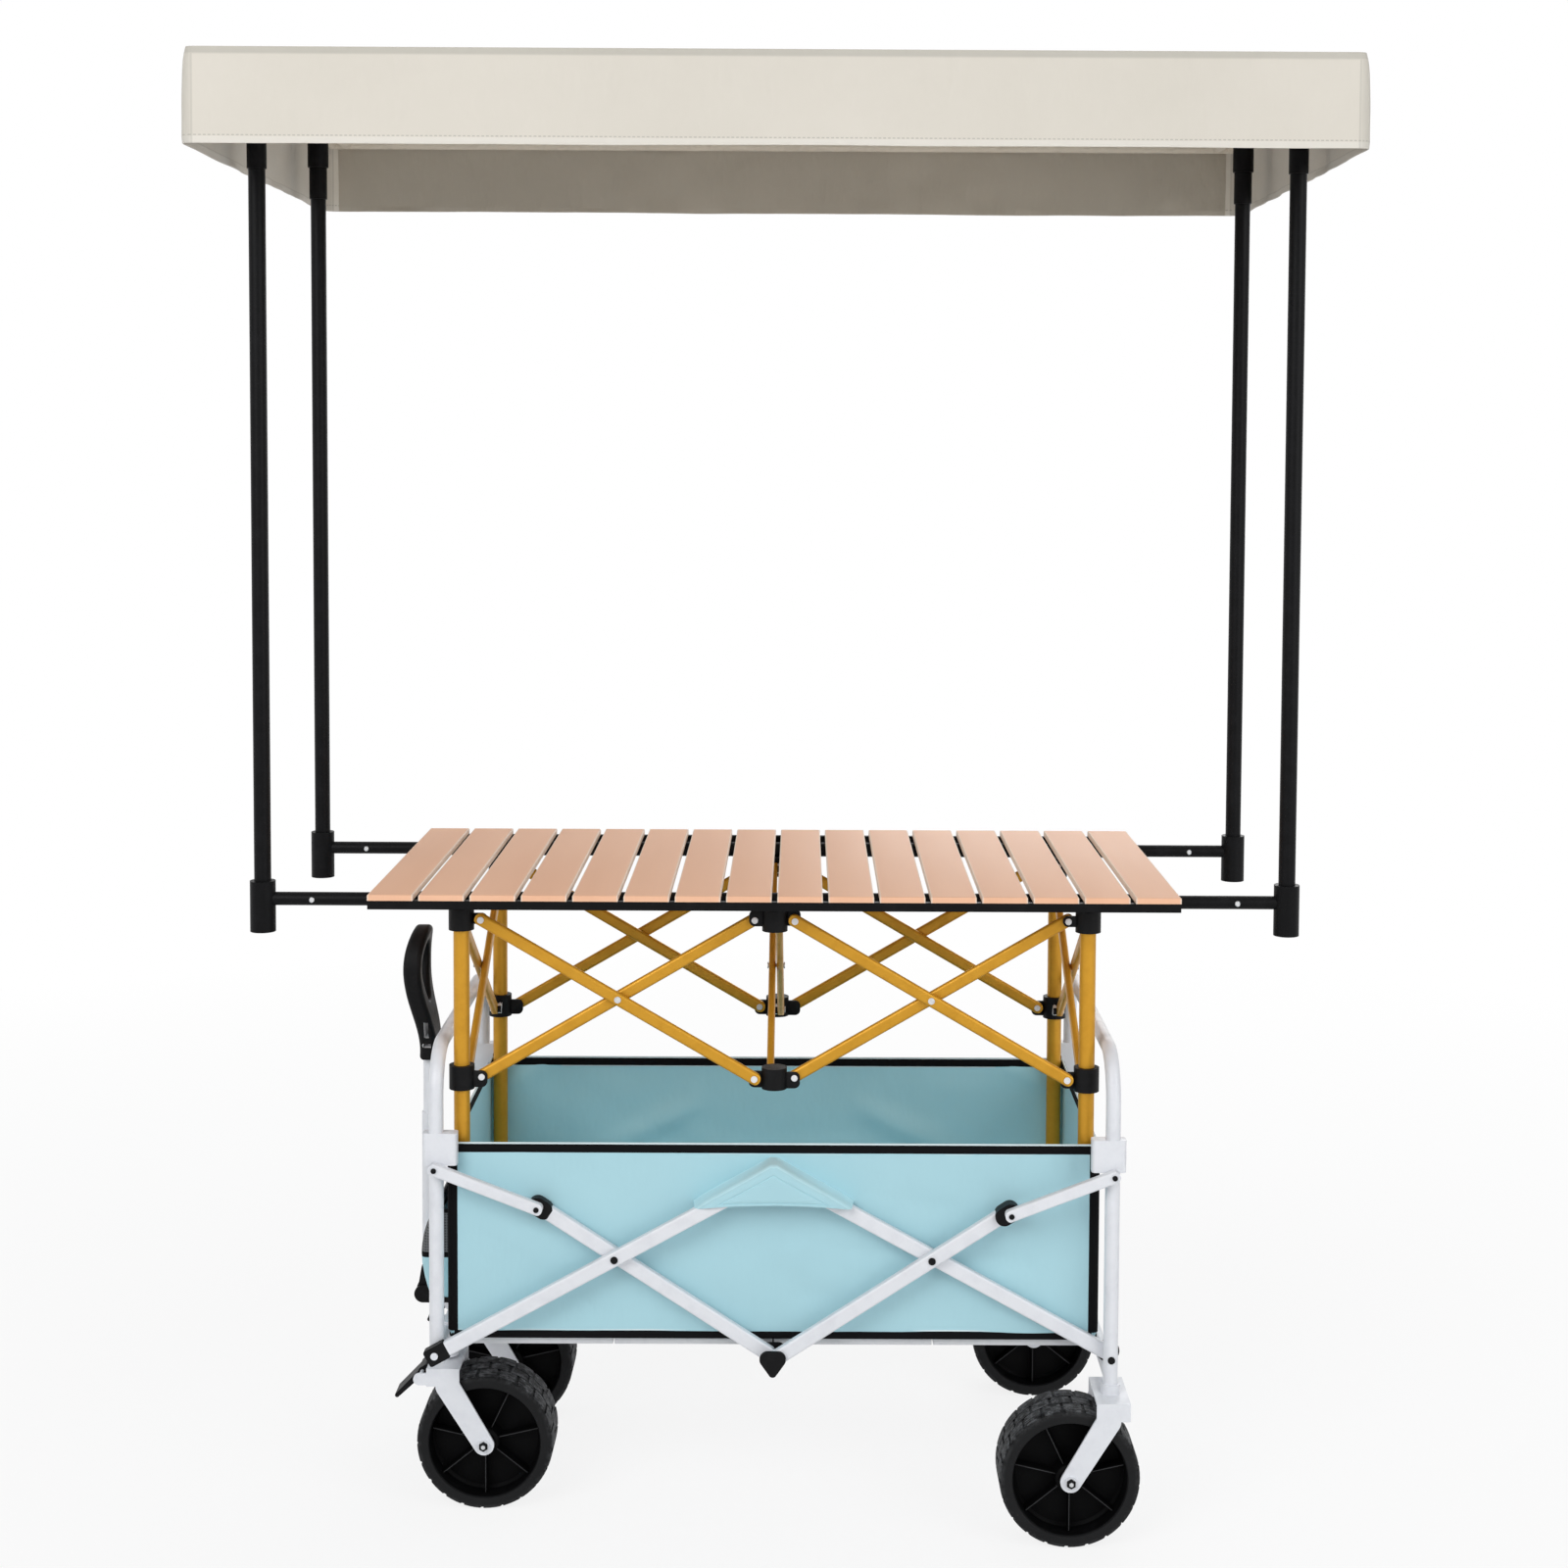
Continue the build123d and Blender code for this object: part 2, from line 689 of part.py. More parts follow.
rim_radius = wheel_radius - tyre_depth
half_width = wheel_width / 2
for end, side, y, name in (
    (-1, -1, caster_y, "left_front"),
    (-1, 1, caster_y, "left_back"),
    (1, -1, fixed_wheel_y, "right_front"),
    (1, 1, fixed_wheel_y, "right_back"),
):
    axle = Plane(origin=(end * axle_x, side * y, wheel_z), x_dir=(1, 0, 0), z_dir=(0, 0, 1))
    face = side_plane(end * axle_x, side * y, wheel_z)
    with BuildPart() as wheel:
        with BuildSketch(axle):
            with Locations(((rim_radius + wheel_radius) / 2, 0)):
                RectangleRounded(tyre_depth, wheel_width, tyre_depth / 2 - 1)
            with Locations((axle_radius + pin_play, 0)):
                Rectangle(rim_radius, 2 * web_half, align=(Align.MIN, Align.CENTER))
                Rectangle(hub_radius, wheel_width, align=(Align.MIN, Align.CENTER))
        revolve(axis=Axis((end * axle_x, side * y, wheel_z), (0, 1, 0)))
        with BuildSketch(face):
            with PolarLocations((hub_radius + rim_radius) / 2, rib_count):
                Rectangle(rim_radius - hub_radius + tyre_depth / 2, rib_thickness)
        extrude(amount=half_width - rib_recess, both=True)
    save(wheel, f"wheel_{name}")


# Pull handle: a hinged tube, and a rod sliding in it that carries the loop grip
with BuildPart() as handle_tube:
    with BuildSketch(Plane.XY.offset(crossbar_z + knuckle_radius + layer_gap)):
        with Locations((-handle_x, 0)):
            Circle(handle_tube_radius)
    extrude(amount=handle_tube_top_z - crossbar_z - knuckle_radius - layer_gap)
    with BuildSketch(Plane.XZ.offset(-knuckle_half)):
        with Locations((-handle_hinge_x, crossbar_z)):
            Circle(knuckle_radius)
        with Locations((-handle_x, crossbar_z + knuckle_height / 2 + knuckle_radius)):
            Rectangle(2 * handle_tube_radius, knuckle_height)
        make_hull()
    extrude(amount=2 * knuckle_half)
    with BuildSketch(Plane.XZ.offset(-knuckle_half)):
        with Locations((-handle_hinge_x, crossbar_z)):
            Circle(handle_pin + pin_play)
    extrude(amount=2 * knuckle_half, mode=Mode.SUBTRACT)
    with BuildSketch(Plane.XY.offset(handle_rod_bottom_z - knuckle_half)):
        with Locations((-handle_x, 0)):
            Circle(handle_rod_radius + handle_play)
    extrude(amount=handle_tube_top_z, mode=Mode.SUBTRACT)
save(handle_tube, "handle_tube")

# The grip is a loop seen along the cart, cut from a thick bar that bows away from the cart
grip_face = Plane.YZ.offset(-handle_x)
grip_inner = grip_outer - grip_bar
grip_top_z = grip_centre_z + grip_outer
bow_points = [
    (-handle_x, grip_bottom_z),
    (-handle_x, grip_bottom_z + yoke_height / 2),
    (-handle_x - grip_bow * 0.75, grip_bottom_z + yoke_height * 1.25),
    (-handle_x - grip_bow, grip_centre_z),
    (-handle_x - grip_bow / 3, grip_top_z),
]
with BuildPart() as handle_grip:
    with BuildSketch(Plane.XZ.offset(-grip_outer)):
        with BuildLine():
            front = Spline(*[(x - grip_thickness / 2, z) for x, z in bow_points])
            back = Spline(*[(x + grip_thickness / 2, z) for x, z in bow_points])
            Line(front @ 0, back @ 0)
            Line(front @ 1, back @ 1)
        make_face()
    extrude(amount=2 * grip_outer)
    with BuildSketch(grip_face):
        with Locations((0, grip_centre_z)):
            Circle(grip_outer)
        with Locations((0, grip_bottom_z + yoke_height / 2)):
            Rectangle(2 * yoke_half, yoke_height)
        make_hull()
    extrude(amount=2 * grip_bar, both=True, mode=Mode.INTERSECT)
    with BuildSketch(grip_face):
        with Locations((0, grip_centre_z)):
            Circle(grip_inner)
        with Locations((0, grip_bottom_z + yoke_height + grip_bar)):
            Circle(yoke_half - grip_bar / 3)
        make_hull()
    extrude(amount=2 * grip_bar, both=True, mode=Mode.SUBTRACT)
    bow_faces = handle_grip.faces().filter_by(GeomType.EXTRUSION)
    fillet(bow_faces.edges(), grip_round)
    with BuildSketch(Plane.XZ):
        with Locations((-handle_x, grip_bottom_z + yoke_height * 0.62)):
            Rectangle(yoke_slot_width, yoke_slot_length)
        with Locations((-handle_x, grip_bottom_z + yoke_height * 0.3)):
            Rectangle(yoke_slot_length / 2, yoke_slot_width)
    extrude(amount=2 * yoke_half, both=True, mode=Mode.SUBTRACT)
    with BuildSketch(Plane.XY.offset(handle_rod_bottom_z)):
        with Locations((-handle_x, 0)):
            Circle(handle_rod_radius)
    extrude(amount=grip_bottom_z + yoke_slot_width - handle_rod_bottom_z)
save(handle_grip, "handle_grip")

# Outside pocket of the left end, a bulging bag between the uprights
bag_back = basket_half_length + bag_gap
bag_height = bag_top_z - bag_bottom_z
with BuildPart() as end_pocket:
    with BuildSketch(Plane.XZ.offset(-bag_half_width)):
        with BuildLine():
            bulge = ThreePointArc(
                (-bag_back - bag_depth / 2, bag_bottom_z),
                (-bag_back - bag_depth, bag_bottom_z + bag_height * 0.42),
                (-bag_back - bag_depth / 4, bag_top_z),
            )
            Line(bulge @ 1, (-bag_back, bag_top_z))
            Line((-bag_back, bag_top_z), (-bag_back, bag_bottom_z))
            Line((-bag_back, bag_bottom_z), bulge @ 0)
        make_face()
    extrude(amount=2 * bag_half_width)
save(end_pocket, "end_pocket")


# Table struts: of each crossing pair the one that falls to the right, seen from outside, is the outer one
def strut(start, finish, outward, layer, with_rivet, name):
    """One strut between two pivots, on a layer of its row, with the crossing rivet on the outer one."""
    plane, span = between(start, finish, outward)
    holes = (0, span / 2, span)
    if with_rivet:
        holes = (0, span)
    bar = flat_tube(
        plane, span, (layer * strut_offset,), strut_height, strut_width, strut_wall, strut_corner,
        holes, rivet_radius + pin_play,
    )
    with BuildPart() as finished:
        add(bar.part)
        if with_rivet:
            with BuildSketch(plane.offset(strut_gap + strut_width + strut_rivet_rise)):
                Circle(strut_rivet_head)
            extrude(amount=-strut_rivet_rise)
            with BuildSketch(plane.offset(strut_gap + strut_width)):
                Circle(rivet_radius)
            extrude(amount=-2 * (strut_gap + strut_width))
    save(finished, name)


inner_x = lug_reach
outer_x = lug_reach + strut_run
for side, row in ((-1, "front"), (1, "back")):
    for end, name in ((-1, "left"), (1, "right")):
        y = side * row_y
        layer = -side * end
        strut(
            (end * inner_x, y, upper_z), (end * outer_x, y, lower_z), (0, side, 0), layer, layer > 0,
            f"strut_down_{row}_{name}",
        )
        strut(
            (end * inner_x, y, lower_z), (end * outer_x, y, upper_z), (0, side, 0), -layer, layer < 0,
            f"strut_up_{row}_{name}",
        )
half_run = strut_run / 2
for end, name in ((-1, "left"), (1, "right")):
    x = end * hub_pitch
    strut(
        (x, -half_run, upper_z), (x, half_run, lower_z), (end, 0, 0), 1, True, f"end_strut_front_{name}"
    )
    strut(
        (x, -half_run, lower_z), (x, half_run, upper_z), (end, 0, 0), -1, False, f"end_strut_back_{name}"
    )
strut((0, -half_run, upper_z), (0, half_run, lower_z), (1, 0, 0), 1, False, "centre_strut_front")
strut((0, -half_run, lower_z), (0, half_run, upper_z), (1, 0, 0), -1, False, "centre_strut_back")

# Centre pin through the two middle struts
pin_half = strut_gap + strut_width
with BuildPart() as table_pin:
    with BuildSketch(Plane.YZ.offset(-pin_half - layer_gap)):
        with Locations((0, middle_z)):
            Circle(rivet_radius)
    extrude(amount=2 * (pin_half + layer_gap))
    for end in (-1, 1):
        with BuildSketch(Plane.YZ.offset(end * (pin_half + layer_gap / 2))):
            with Locations((0, middle_z)):
                Circle(strut_rivet_head)
        extrude(amount=end * strut_rivet_rise)
save(table_pin, "table_pin")


# Table hubs: a drum with a lug and rivet for each strut that meets it
def lugged_drum(x, y, z, height, lugs):
    """A drum with lugs beside the struts' ends. A lug is a direction, its row's outward side and a layer."""
    with BuildPart() as drum:
        with BuildSketch(Plane.XY.offset(z - height / 2)):
            with Locations((x, y)):
                Circle(hub_outer)
        extrude(amount=height)
        for along, outward, layer in lugs:
            lug = Plane(origin=(x, y, z), x_dir=along, z_dir=outward)
            near = layer * strut_gap / 2
            far = layer * (strut_gap + strut_width)
            with BuildSketch(lug.offset(near)):
                with Locations((lug_reach / 2, 0)):
                    SlotCenterToCenter(lug_reach, 2 * lug_radius)
            extrude(amount=-layer * lug_thickness)
            with BuildSketch(lug.offset(near)):
                with Locations((lug_reach, 0)):
                    Circle(rivet_radius)
            extrude(amount=far - near + layer * strut_rivet_rise)
            with BuildSketch(lug.offset(far + near)):
                with Locations((lug_reach, 0)):
                    Circle(strut_rivet_head)
            extrude(amount=layer * strut_rivet_rise)
    return drum


for side, row in ((-1, "front"), (1, "back")):
    y = side * row_y
    inward = (0, -side, 0)
    outward = (0, side, 0)
    upper_lugs = [((end, 0, 0), outward, -side * end) for end in (-1, 1)] + [(inward, (1, 0, 0), -side)]
    lower_lugs = [((end, 0, 0), outward, side * end) for end in (-1, 1)] + [(inward, (1, 0, 0), side)]
    save(lugged_drum(0, y, upper_z, hub_height, upper_lugs), f"hub_upper_{row}")
    save(lugged_drum(0, y, lower_z, hub_height, lower_lugs), f"hub_lower_{row}")
    for end, name in ((-1, "left"), (1, "right")):
        x = end * hub_pitch
        leg_lugs = [((-end, 0, 0), outward, side * end), (inward, (end, 0, 0), -side)]
        leg_hub = lugged_drum(x, y, upper_z, hub_height, leg_lugs)
        with BuildPart() as table_leg:
            add(leg_hub.part)
            with BuildSketch(Plane.XY.offset(leg_bottom_z)):
                with Locations((x, y)):
                    Circle(leg_radius)
            extrude(amount=upper_z - leg_bottom_z)
            with BuildSketch(Plane.XY.offset(leg_bottom_z)):
                with Locations((x, y)):
                    Circle(foot_radius)
            extrude(amount=foot_height)
            with BuildSketch(Plane.XY.offset(leg_bottom_z)):
                with Locations((x, y)):
                    Circle(leg_radius - leg_wall)
            extrude(amount=upper_z - leg_bottom_z, mode=Mode.SUBTRACT)
        save(table_leg, f"table_leg_{row}_{name}")
        slider_lugs = [((-end, 0, 0), outward, -side * end), (inward, (end, 0, 0), side)]
        slider_drum = lugged_drum(x, y, lower_z, slider_height, slider_lugs)
        with BuildPart() as slider:
            add(slider_drum.part)
            with BuildSketch(Plane.XY.offset(lower_z - slider_height)):
                with Locations((x, y)):
                    Circle(leg_radius + slide_play)
            extrude(amount=2 * slider_height, mode=Mode.SUBTRACT)
        save(slider, f"slider_{row}_{name}")


# Table top: channel slats across two rails
with BuildPart() as slats:
    with BuildSketch(Plane.XY.offset(slat_top_z)):
        with GridLocations(slat_pitch, 0, slat_count, 1):
            Rectangle(slat_pitch - slat_gap, slat_length)
    extrude(amount=-slat_thickness)
    with BuildSketch(Plane.XY.offset(slat_top_z - slat_wall)):
        with GridLocations(slat_pitch, 0, slat_count, 1):
            Rectangle(slat_pitch - slat_gap - 2 * slat_wall, slat_length - 2 * slat_wall)
    extrude(amount=-slat_thickness, mode=Mode.SUBTRACT)
save(slats, "slats")

rail_half = table_half_length - slat_gap / 2
with BuildPart() as rails:
    for side in (-1, 1):
        with BuildSketch(Plane.YZ.offset(-rail_half)):
            with Locations((side * rail_y, rail_z)):
                Circle(rail_radius - rail_play)
                Circle(arm_radius + rail_bore_play, mode=Mode.SUBTRACT)
        extrude(amount=2 * rail_half)
    with BuildSketch(Plane.XY.offset(rail_z + rail_radius - rail_play)):
        with GridLocations(0, slat_length - strip_thickness - 2 * strip_inset, 1, 2):
            Rectangle(2 * rail_half, strip_thickness)
    extrude(amount=-strip_height)
    for end in (-1, 1):
        for side in (-1, 1):
            with BuildSketch(Plane.XY.offset(socket_bottom_z)):
                with Locations((end * post_x, side * rail_y)):
                    Circle(socket_radius)
            extrude(amount=socket_top_z - socket_bottom_z)
            with BuildSketch(Plane.YZ.offset(end * (rail_half - arm_overlap))):
                with Locations((side * rail_y, rail_z)):
                    Circle(arm_radius)
            extrude(amount=end * (post_x - rail_half + arm_overlap))
            with BuildSketch(Plane.YZ.offset(end * (rail_half - arm_overlap))):
                with Locations((side * rail_y, rail_z)):
                    Circle(arm_radius - arm_wall)
            extrude(
                amount=end * (post_x - socket_radius - rail_half + arm_overlap), mode=Mode.SUBTRACT
            )
            with BuildSketch(Plane.XY.offset(socket_bottom_z + socket_floor)):
                with Locations((end * post_x, side * rail_y)):
                    Circle(post_radius + socket_play)
            extrude(amount=socket_top_z, mode=Mode.SUBTRACT)
            with BuildSketch(Plane.XZ.offset(-side * rail_y)):
                with Locations((end * button_x, rail_z)):
                    Circle(button_radius + pin_play)
            extrude(amount=2 * arm_radius, mode=Mode.SUBTRACT)
save(rails, "rails")

for side, row in ((-1, "front"), (1, "back")):
    for end, name in ((-1, "left"), (1, "right")):
        with BuildPart() as snap_button:
            with BuildSketch(Plane.XZ.offset(-side * rail_y + arm_radius + button_rise)):
                with Locations((end * button_x, rail_z)):
                    Circle(button_radius)
            extrude(amount=-button_length)
            chamfer(snap_button.faces().sort_by(Axis.Y)[0].edges(), button_rise / 3)
        save(snap_button, f"snap_button_{row}_{name}")


# Canopy: four posts, a roof frame of tube and the cloth box over it
post_bottom_z = socket_bottom_z + socket_floor + socket_play
with BuildPart() as canopy_posts:
    with BuildSketch(Plane.XY.offset(post_bottom_z)):
        with GridLocations(2 * post_x, 2 * rail_y, 2, 2):
            Circle(post_radius)
    extrude(amount=frame_z - frame_radius - post_bottom_z)
    with BuildSketch(Plane.XY.offset(sleeve_top_z)):
        with GridLocations(2 * post_x, 2 * rail_y, 2, 2):
            Circle(sleeve_top_radius)
    extrude(amount=connector_z - sleeve_top_z)
    with BuildSketch(Plane.XY.offset(connector_z)):
        with GridLocations(2 * post_x, 2 * rail_y, 2, 2):
            Circle(connector_radius)
    extrude(amount=frame_z - frame_radius - connector_z)
    with BuildSketch(Plane.XY.offset(frame_z - frame_radius)):
        with GridLocations(2 * post_x, 2 * rail_y, 2, 2):
            RectangleRounded(2 * saddle_half, 2 * connector_radius, saddle_half / 3)
    extrude(amount=frame_radius)
    for end in (-1, 1):
        with BuildSketch(Plane.XZ.offset(-canopy_half_width)):
            with Locations((end * post_x, frame_z)):
                Circle(frame_radius + pin_play)
        extrude(amount=2 * canopy_half_width, mode=Mode.SUBTRACT)
    with BuildSketch(Plane.XY.offset(post_bottom_z)):
        with GridLocations(2 * post_x, 2 * rail_y, 2, 2):
            Circle(post_radius - post_wall)
    extrude(amount=connector_z - post_bottom_z, mode=Mode.SUBTRACT)
save(canopy_posts, "canopy_posts")

with BuildPart() as canopy_frame:
    for side in (-1, 1):
        with BuildSketch(Plane.YZ.offset(-frame_half_length)):
            with Locations((side * frame_half_width, frame_z)):
                Circle(frame_radius)
        extrude(amount=2 * frame_half_length)
    for x in (-frame_half_length, -post_x, post_x, frame_half_length):
        with BuildSketch(Plane.XZ.offset(-frame_half_width)):
            with Locations((x, frame_z)):
                Circle(frame_radius)
        extrude(amount=2 * frame_half_width)
save(canopy_frame, "canopy_frame")

with BuildPart() as canopy_cloth:
    with BuildSketch(Plane.XY.offset(roof_z - valance_drop)):
        RectangleRounded(2 * canopy_half_length, 2 * canopy_half_width, canopy_corner)
    extrude(amount=valance_drop)
    with BuildSketch(Plane.XY.offset(roof_z - valance_drop)):
        RectangleRounded(
            2 * (canopy_half_length - cloth_thickness),
            2 * (canopy_half_width - cloth_thickness),
            canopy_corner - cloth_thickness,
        )
    extrude(amount=valance_drop - cloth_thickness, mode=Mode.SUBTRACT)
save(canopy_cloth, "canopy_cloth")
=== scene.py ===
import math

import bpy
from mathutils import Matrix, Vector, noise


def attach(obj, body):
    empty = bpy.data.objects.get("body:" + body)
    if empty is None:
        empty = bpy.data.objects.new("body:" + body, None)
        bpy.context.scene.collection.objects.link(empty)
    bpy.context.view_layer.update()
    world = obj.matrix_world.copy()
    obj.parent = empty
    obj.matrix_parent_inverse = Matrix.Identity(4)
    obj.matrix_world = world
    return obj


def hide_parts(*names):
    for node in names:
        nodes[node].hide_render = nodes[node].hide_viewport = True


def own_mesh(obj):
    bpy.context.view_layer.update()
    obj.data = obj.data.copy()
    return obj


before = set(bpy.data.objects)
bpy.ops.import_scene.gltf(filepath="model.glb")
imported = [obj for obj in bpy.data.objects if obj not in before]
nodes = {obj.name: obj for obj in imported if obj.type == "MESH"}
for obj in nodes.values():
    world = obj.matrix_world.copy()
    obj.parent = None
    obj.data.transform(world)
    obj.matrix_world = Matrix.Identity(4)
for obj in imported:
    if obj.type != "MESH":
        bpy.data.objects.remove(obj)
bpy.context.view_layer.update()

# Sizes of the cart in metres, as in the part's source
FOOT_X, FOOT_Z = 0.5016, 0.2738
CROSS_X, CROSS_Z = 0.2352, 0.4198
KNEE_X, KNEE_Z = 0.3506, 0.4948
LINK_X, LINK_Z = 0.5016, 0.553
SHORT_RUN, SHORT_RISE = math.cos(math.radians(33.0)), math.sin(math.radians(33.0))
OUTER_FACE, LINK_FACE = 0.298, 0.321
BASKET_X, BASKET_Y = 0.4856, 0.257
BASKET_FLOOR, BASKET_RIM = 0.2874, 0.582
BOARD_TOP, BOARD_DEEP = 0.287, 0.012
POCKET_LOW, POCKET_HIGH, POCKET_FACE = 0.498, 0.563, 0.301
POCKET_MOUTH, POCKET_PEAK = 0.1237, 0.0051
BAG_BACK, BAG_DEPTH, BAG_HALF = 0.4859, 0.052, 0.212
BAG_LOW, BAG_HIGH = 0.331, 0.468
ROW_Y, HUB_X = 0.2340, 0.4680
UPPER_Z, LOWER_Z = 0.9168, 0.6784
LUG, LUG_RISE = 0.030, 0.0054
STRUT_OUT = 0.0118
AXLE_X, AXLE_Z = 0.4396, 0.104
CASTER_Y, FIXED_Y = 0.162, 0.288
FORK_HALF, BOLT_RISE = 0.053, 0.004
WHEEL_R, WHEEL_HALF = 0.104, 0.045
SLAT_COUNT, SLAT_PITCH, SLAT_GAP = 16, 0.075, 0.0085
SLAT_LENGTH, SLAT_TOP, SLAT_DEEP = 0.616, 0.966, 0.009
CANOPY_X, CANOPY_Y = 0.804, 0.504
ROOF_Z, VALANCE = 2.162, 0.131
GRIP_BOTTOM, HANDLE_X = 0.648, 0.552
YOKE_SLOT, YOKE_NOTCH = 0.6988, 0.6726

# Cloth: the canopy's hem and its ends' lean, and a thread
HEM, FLARE = 0.009, 0.006
THREAD = 0.0011

# How close a point counts as being at a place, and how straight a face counts as facing a way
TINY, AT_EDGE, FACING = 0.0001, 0.002, 0.9


class Wire:
    """One output among a finish's nodes. Sums of wires and numbers add Math nodes."""

    def __init__(self, look, socket):
        self.look = look
        self.socket = socket

    def math(self, operation, *others):
        sockets = dict(enumerate((self, *others)))
        return self.look.node("ShaderNodeMath", {"operation": operation}, sockets)

    def __add__(self, other):
        return self.math("ADD", other)

    def __sub__(self, other):
        return self.math("SUBTRACT", other)

    def __rsub__(self, other):
        return self.look.node("ShaderNodeMath", {"operation": "SUBTRACT"}, {0: other, 1: self})

    def __mul__(self, other):
        return self.math("MULTIPLY", other)

    def __truediv__(self, other):
        return self.math("DIVIDE", other)

    def __rtruediv__(self, other):
        return self.look.node("ShaderNodeMath", {"operation": "DIVIDE"}, {0: other, 1: self})

    __radd__ = __add__
    __rmul__ = __mul__

    def below(self, limit):
        return self.math("LESS_THAN", limit)

    def ramp(self, low, high, out_low=0.0, out_high=1.0):
        return self.look.node(
            "ShaderNodeMapRange", {"clamp": True},
            {"Value": self, "From Min": low, "From Max": high, "To Min": out_low, "To Max": out_high},
        )


class Nodes:
    """The nodes of a material or of the world, at first its output alone."""

    def __init__(self, owner, output):
        owner.use_nodes = True
        self.tree = owner.node_tree
        self.tree.nodes.clear()
        self.output = self.tree.nodes.new(output).inputs[0]

    def node(self, kind, settings=None, sockets=None, out=0):
        """Add a node, set it up, fill or join its sockets, and return one of its outputs."""
        made = self.tree.nodes.new(kind)
        for key, value in (settings or {}).items():
            setattr(made, key, value)
        for key, value in (sockets or {}).items():
            self.join(made.inputs[key], value)
        return Wire(self, made.outputs[out])

    def join(self, socket, value):
        if isinstance(value, Wire):
            self.tree.links.new(value.socket, socket)
        else:
            socket.default_value = value

    def all_of(self, wire):
        """Every output of the node that a wire comes from, by its name."""
        return {socket.name: Wire(self, socket) for socket in wire.socket.node.outputs}

    def seen(self):
        """1 for the camera's rays, also after a reflection or through glass."""
        seen = self.node("ShaderNodeLightPath", out="Is Camera Ray")
        rays = self.all_of(seen)
        for ray in ("Is Glossy Ray", "Is Transmission Ray"):
            seen = seen.math("MAXIMUM", rays[ray])
        return seen


class Look(Nodes):
    """A procedural finish, built from nodes around one Principled shader."""

    def __init__(self, name, **fixed):
        self.material = bpy.data.materials.new(name)
        super().__init__(self.material, "ShaderNodeOutputMaterial")
        self.surface = self.node("ShaderNodeBsdfPrincipled")
        self.shader = self.surface.socket.node
        self.join(self.output, self.surface)
        self.drive(**fixed)

    def drive(self, **sockets):
        for socket, value in sockets.items():
            self.join(self.shader.inputs[socket.replace("_", " ")], value)

    def place(self, kind="Object"):
        return self.node("ShaderNodeTexCoord", out=kind)

    def parts(self, vector):
        return list(self.all_of(self.node("ShaderNodeSeparateXYZ", {}, {0: vector})).values())

    def lie(self):
        """Places across and along the piece's own map, in metres."""
        return self.parts(self.place("UV"))[:2]

    def noise(self, vector, scale=1.0, detail=3.0, rough=0.5):
        return self.node(
            "ShaderNodeTexNoise", {},
            {"Vector": vector, "Scale": scale, "Detail": detail, "Roughness": rough},
        )

    def stretch(self, vector, scale):
        return self.node("ShaderNodeMapping", {}, {"Vector": vector, "Scale": scale})

    def mix(self, share, first, second):
        ends = [value if isinstance(value, Wire) else (*value, 1.0) for value in (first, second)]
        sockets = {0: share, 6: ends[0], 7: ends[1]}
        return self.node("ShaderNodeMix", {"data_type": "RGBA"}, sockets, out=2)

    def bump(self, height, depth):
        sockets = {"Height": height, "Distance": depth, "Strength": 1.0}
        self.drive(Normal=self.node("ShaderNodeBump", {}, sockets))


def coated_tube(name, colour, dull, rough, metal=0.0, coat=0.0, shine=0.5):
    """Powder coat or anodising on tube: a fine skin, faint handling marks and a little dust."""
    look = Look(name, Metallic=metal, Coat_Weight=coat, Coat_Roughness=0.25, Specular_IOR_Level=shine)
    place = look.place()
    marks = look.noise(place, scale=38.0, detail=4.0, rough=0.6).ramp(0.45, 0.75)
    skin = look.noise(place, scale=900.0, detail=2.0)
    look.drive(Base_Color=look.mix(marks, colour, dull), Roughness=marks * 0.12 + skin * 0.08 + rough)
    look.bump(skin, depth=0.00008)
    return look.material


def moulded(name, colour, dull, rough, shine=0.45):
    """Moulded plastic with a fine spark texture and worn patches."""
    look = Look(name, Specular_IOR_Level=shine)
    place = look.place()
    wear = look.noise(place, scale=60.0, detail=5.0, rough=0.65).ramp(0.5, 0.8)
    grain = look.noise(place, scale=1600.0, detail=2.0)
    look.drive(Base_Color=look.mix(wear, colour, dull), Roughness=wear * 0.15 + grain * 0.1 + rough)
    look.bump(grain, depth=0.00012)
    return look.material


def woven(look):
    """Height of a plain weave, laid along the piece's own map."""
    across, along = look.lie()
    turn = math.pi / THREAD
    warp = (across * turn).math("SINE")
    weft = (along * turn).math("SINE")
    return (warp * weft).math("ABSOLUTE")


def cloth(name, colour, shade, soft=0.0012):
    """Coated polyester weave with creases of that depth and a faint change of tone."""
    look = Look(name, Sheen_Weight=0.15, Specular_IOR_Level=0.3)
    place = look.place()
    weave = woven(look)
    tone = look.noise(place, scale=3.5, rough=0.55).ramp(0.3, 0.75)
    crease = look.noise(look.stretch(place, (9.0, 9.0, 5.0)), detail=4.0)
    colour_now = look.mix(tone * 0.6 + weave * 0.22, shade, colour)
    look.drive(Base_Color=colour_now, Roughness=weave * -0.08 + 0.62)
    look.bump(weave * 0.1 + crease * 6.0, depth=soft)
    return look


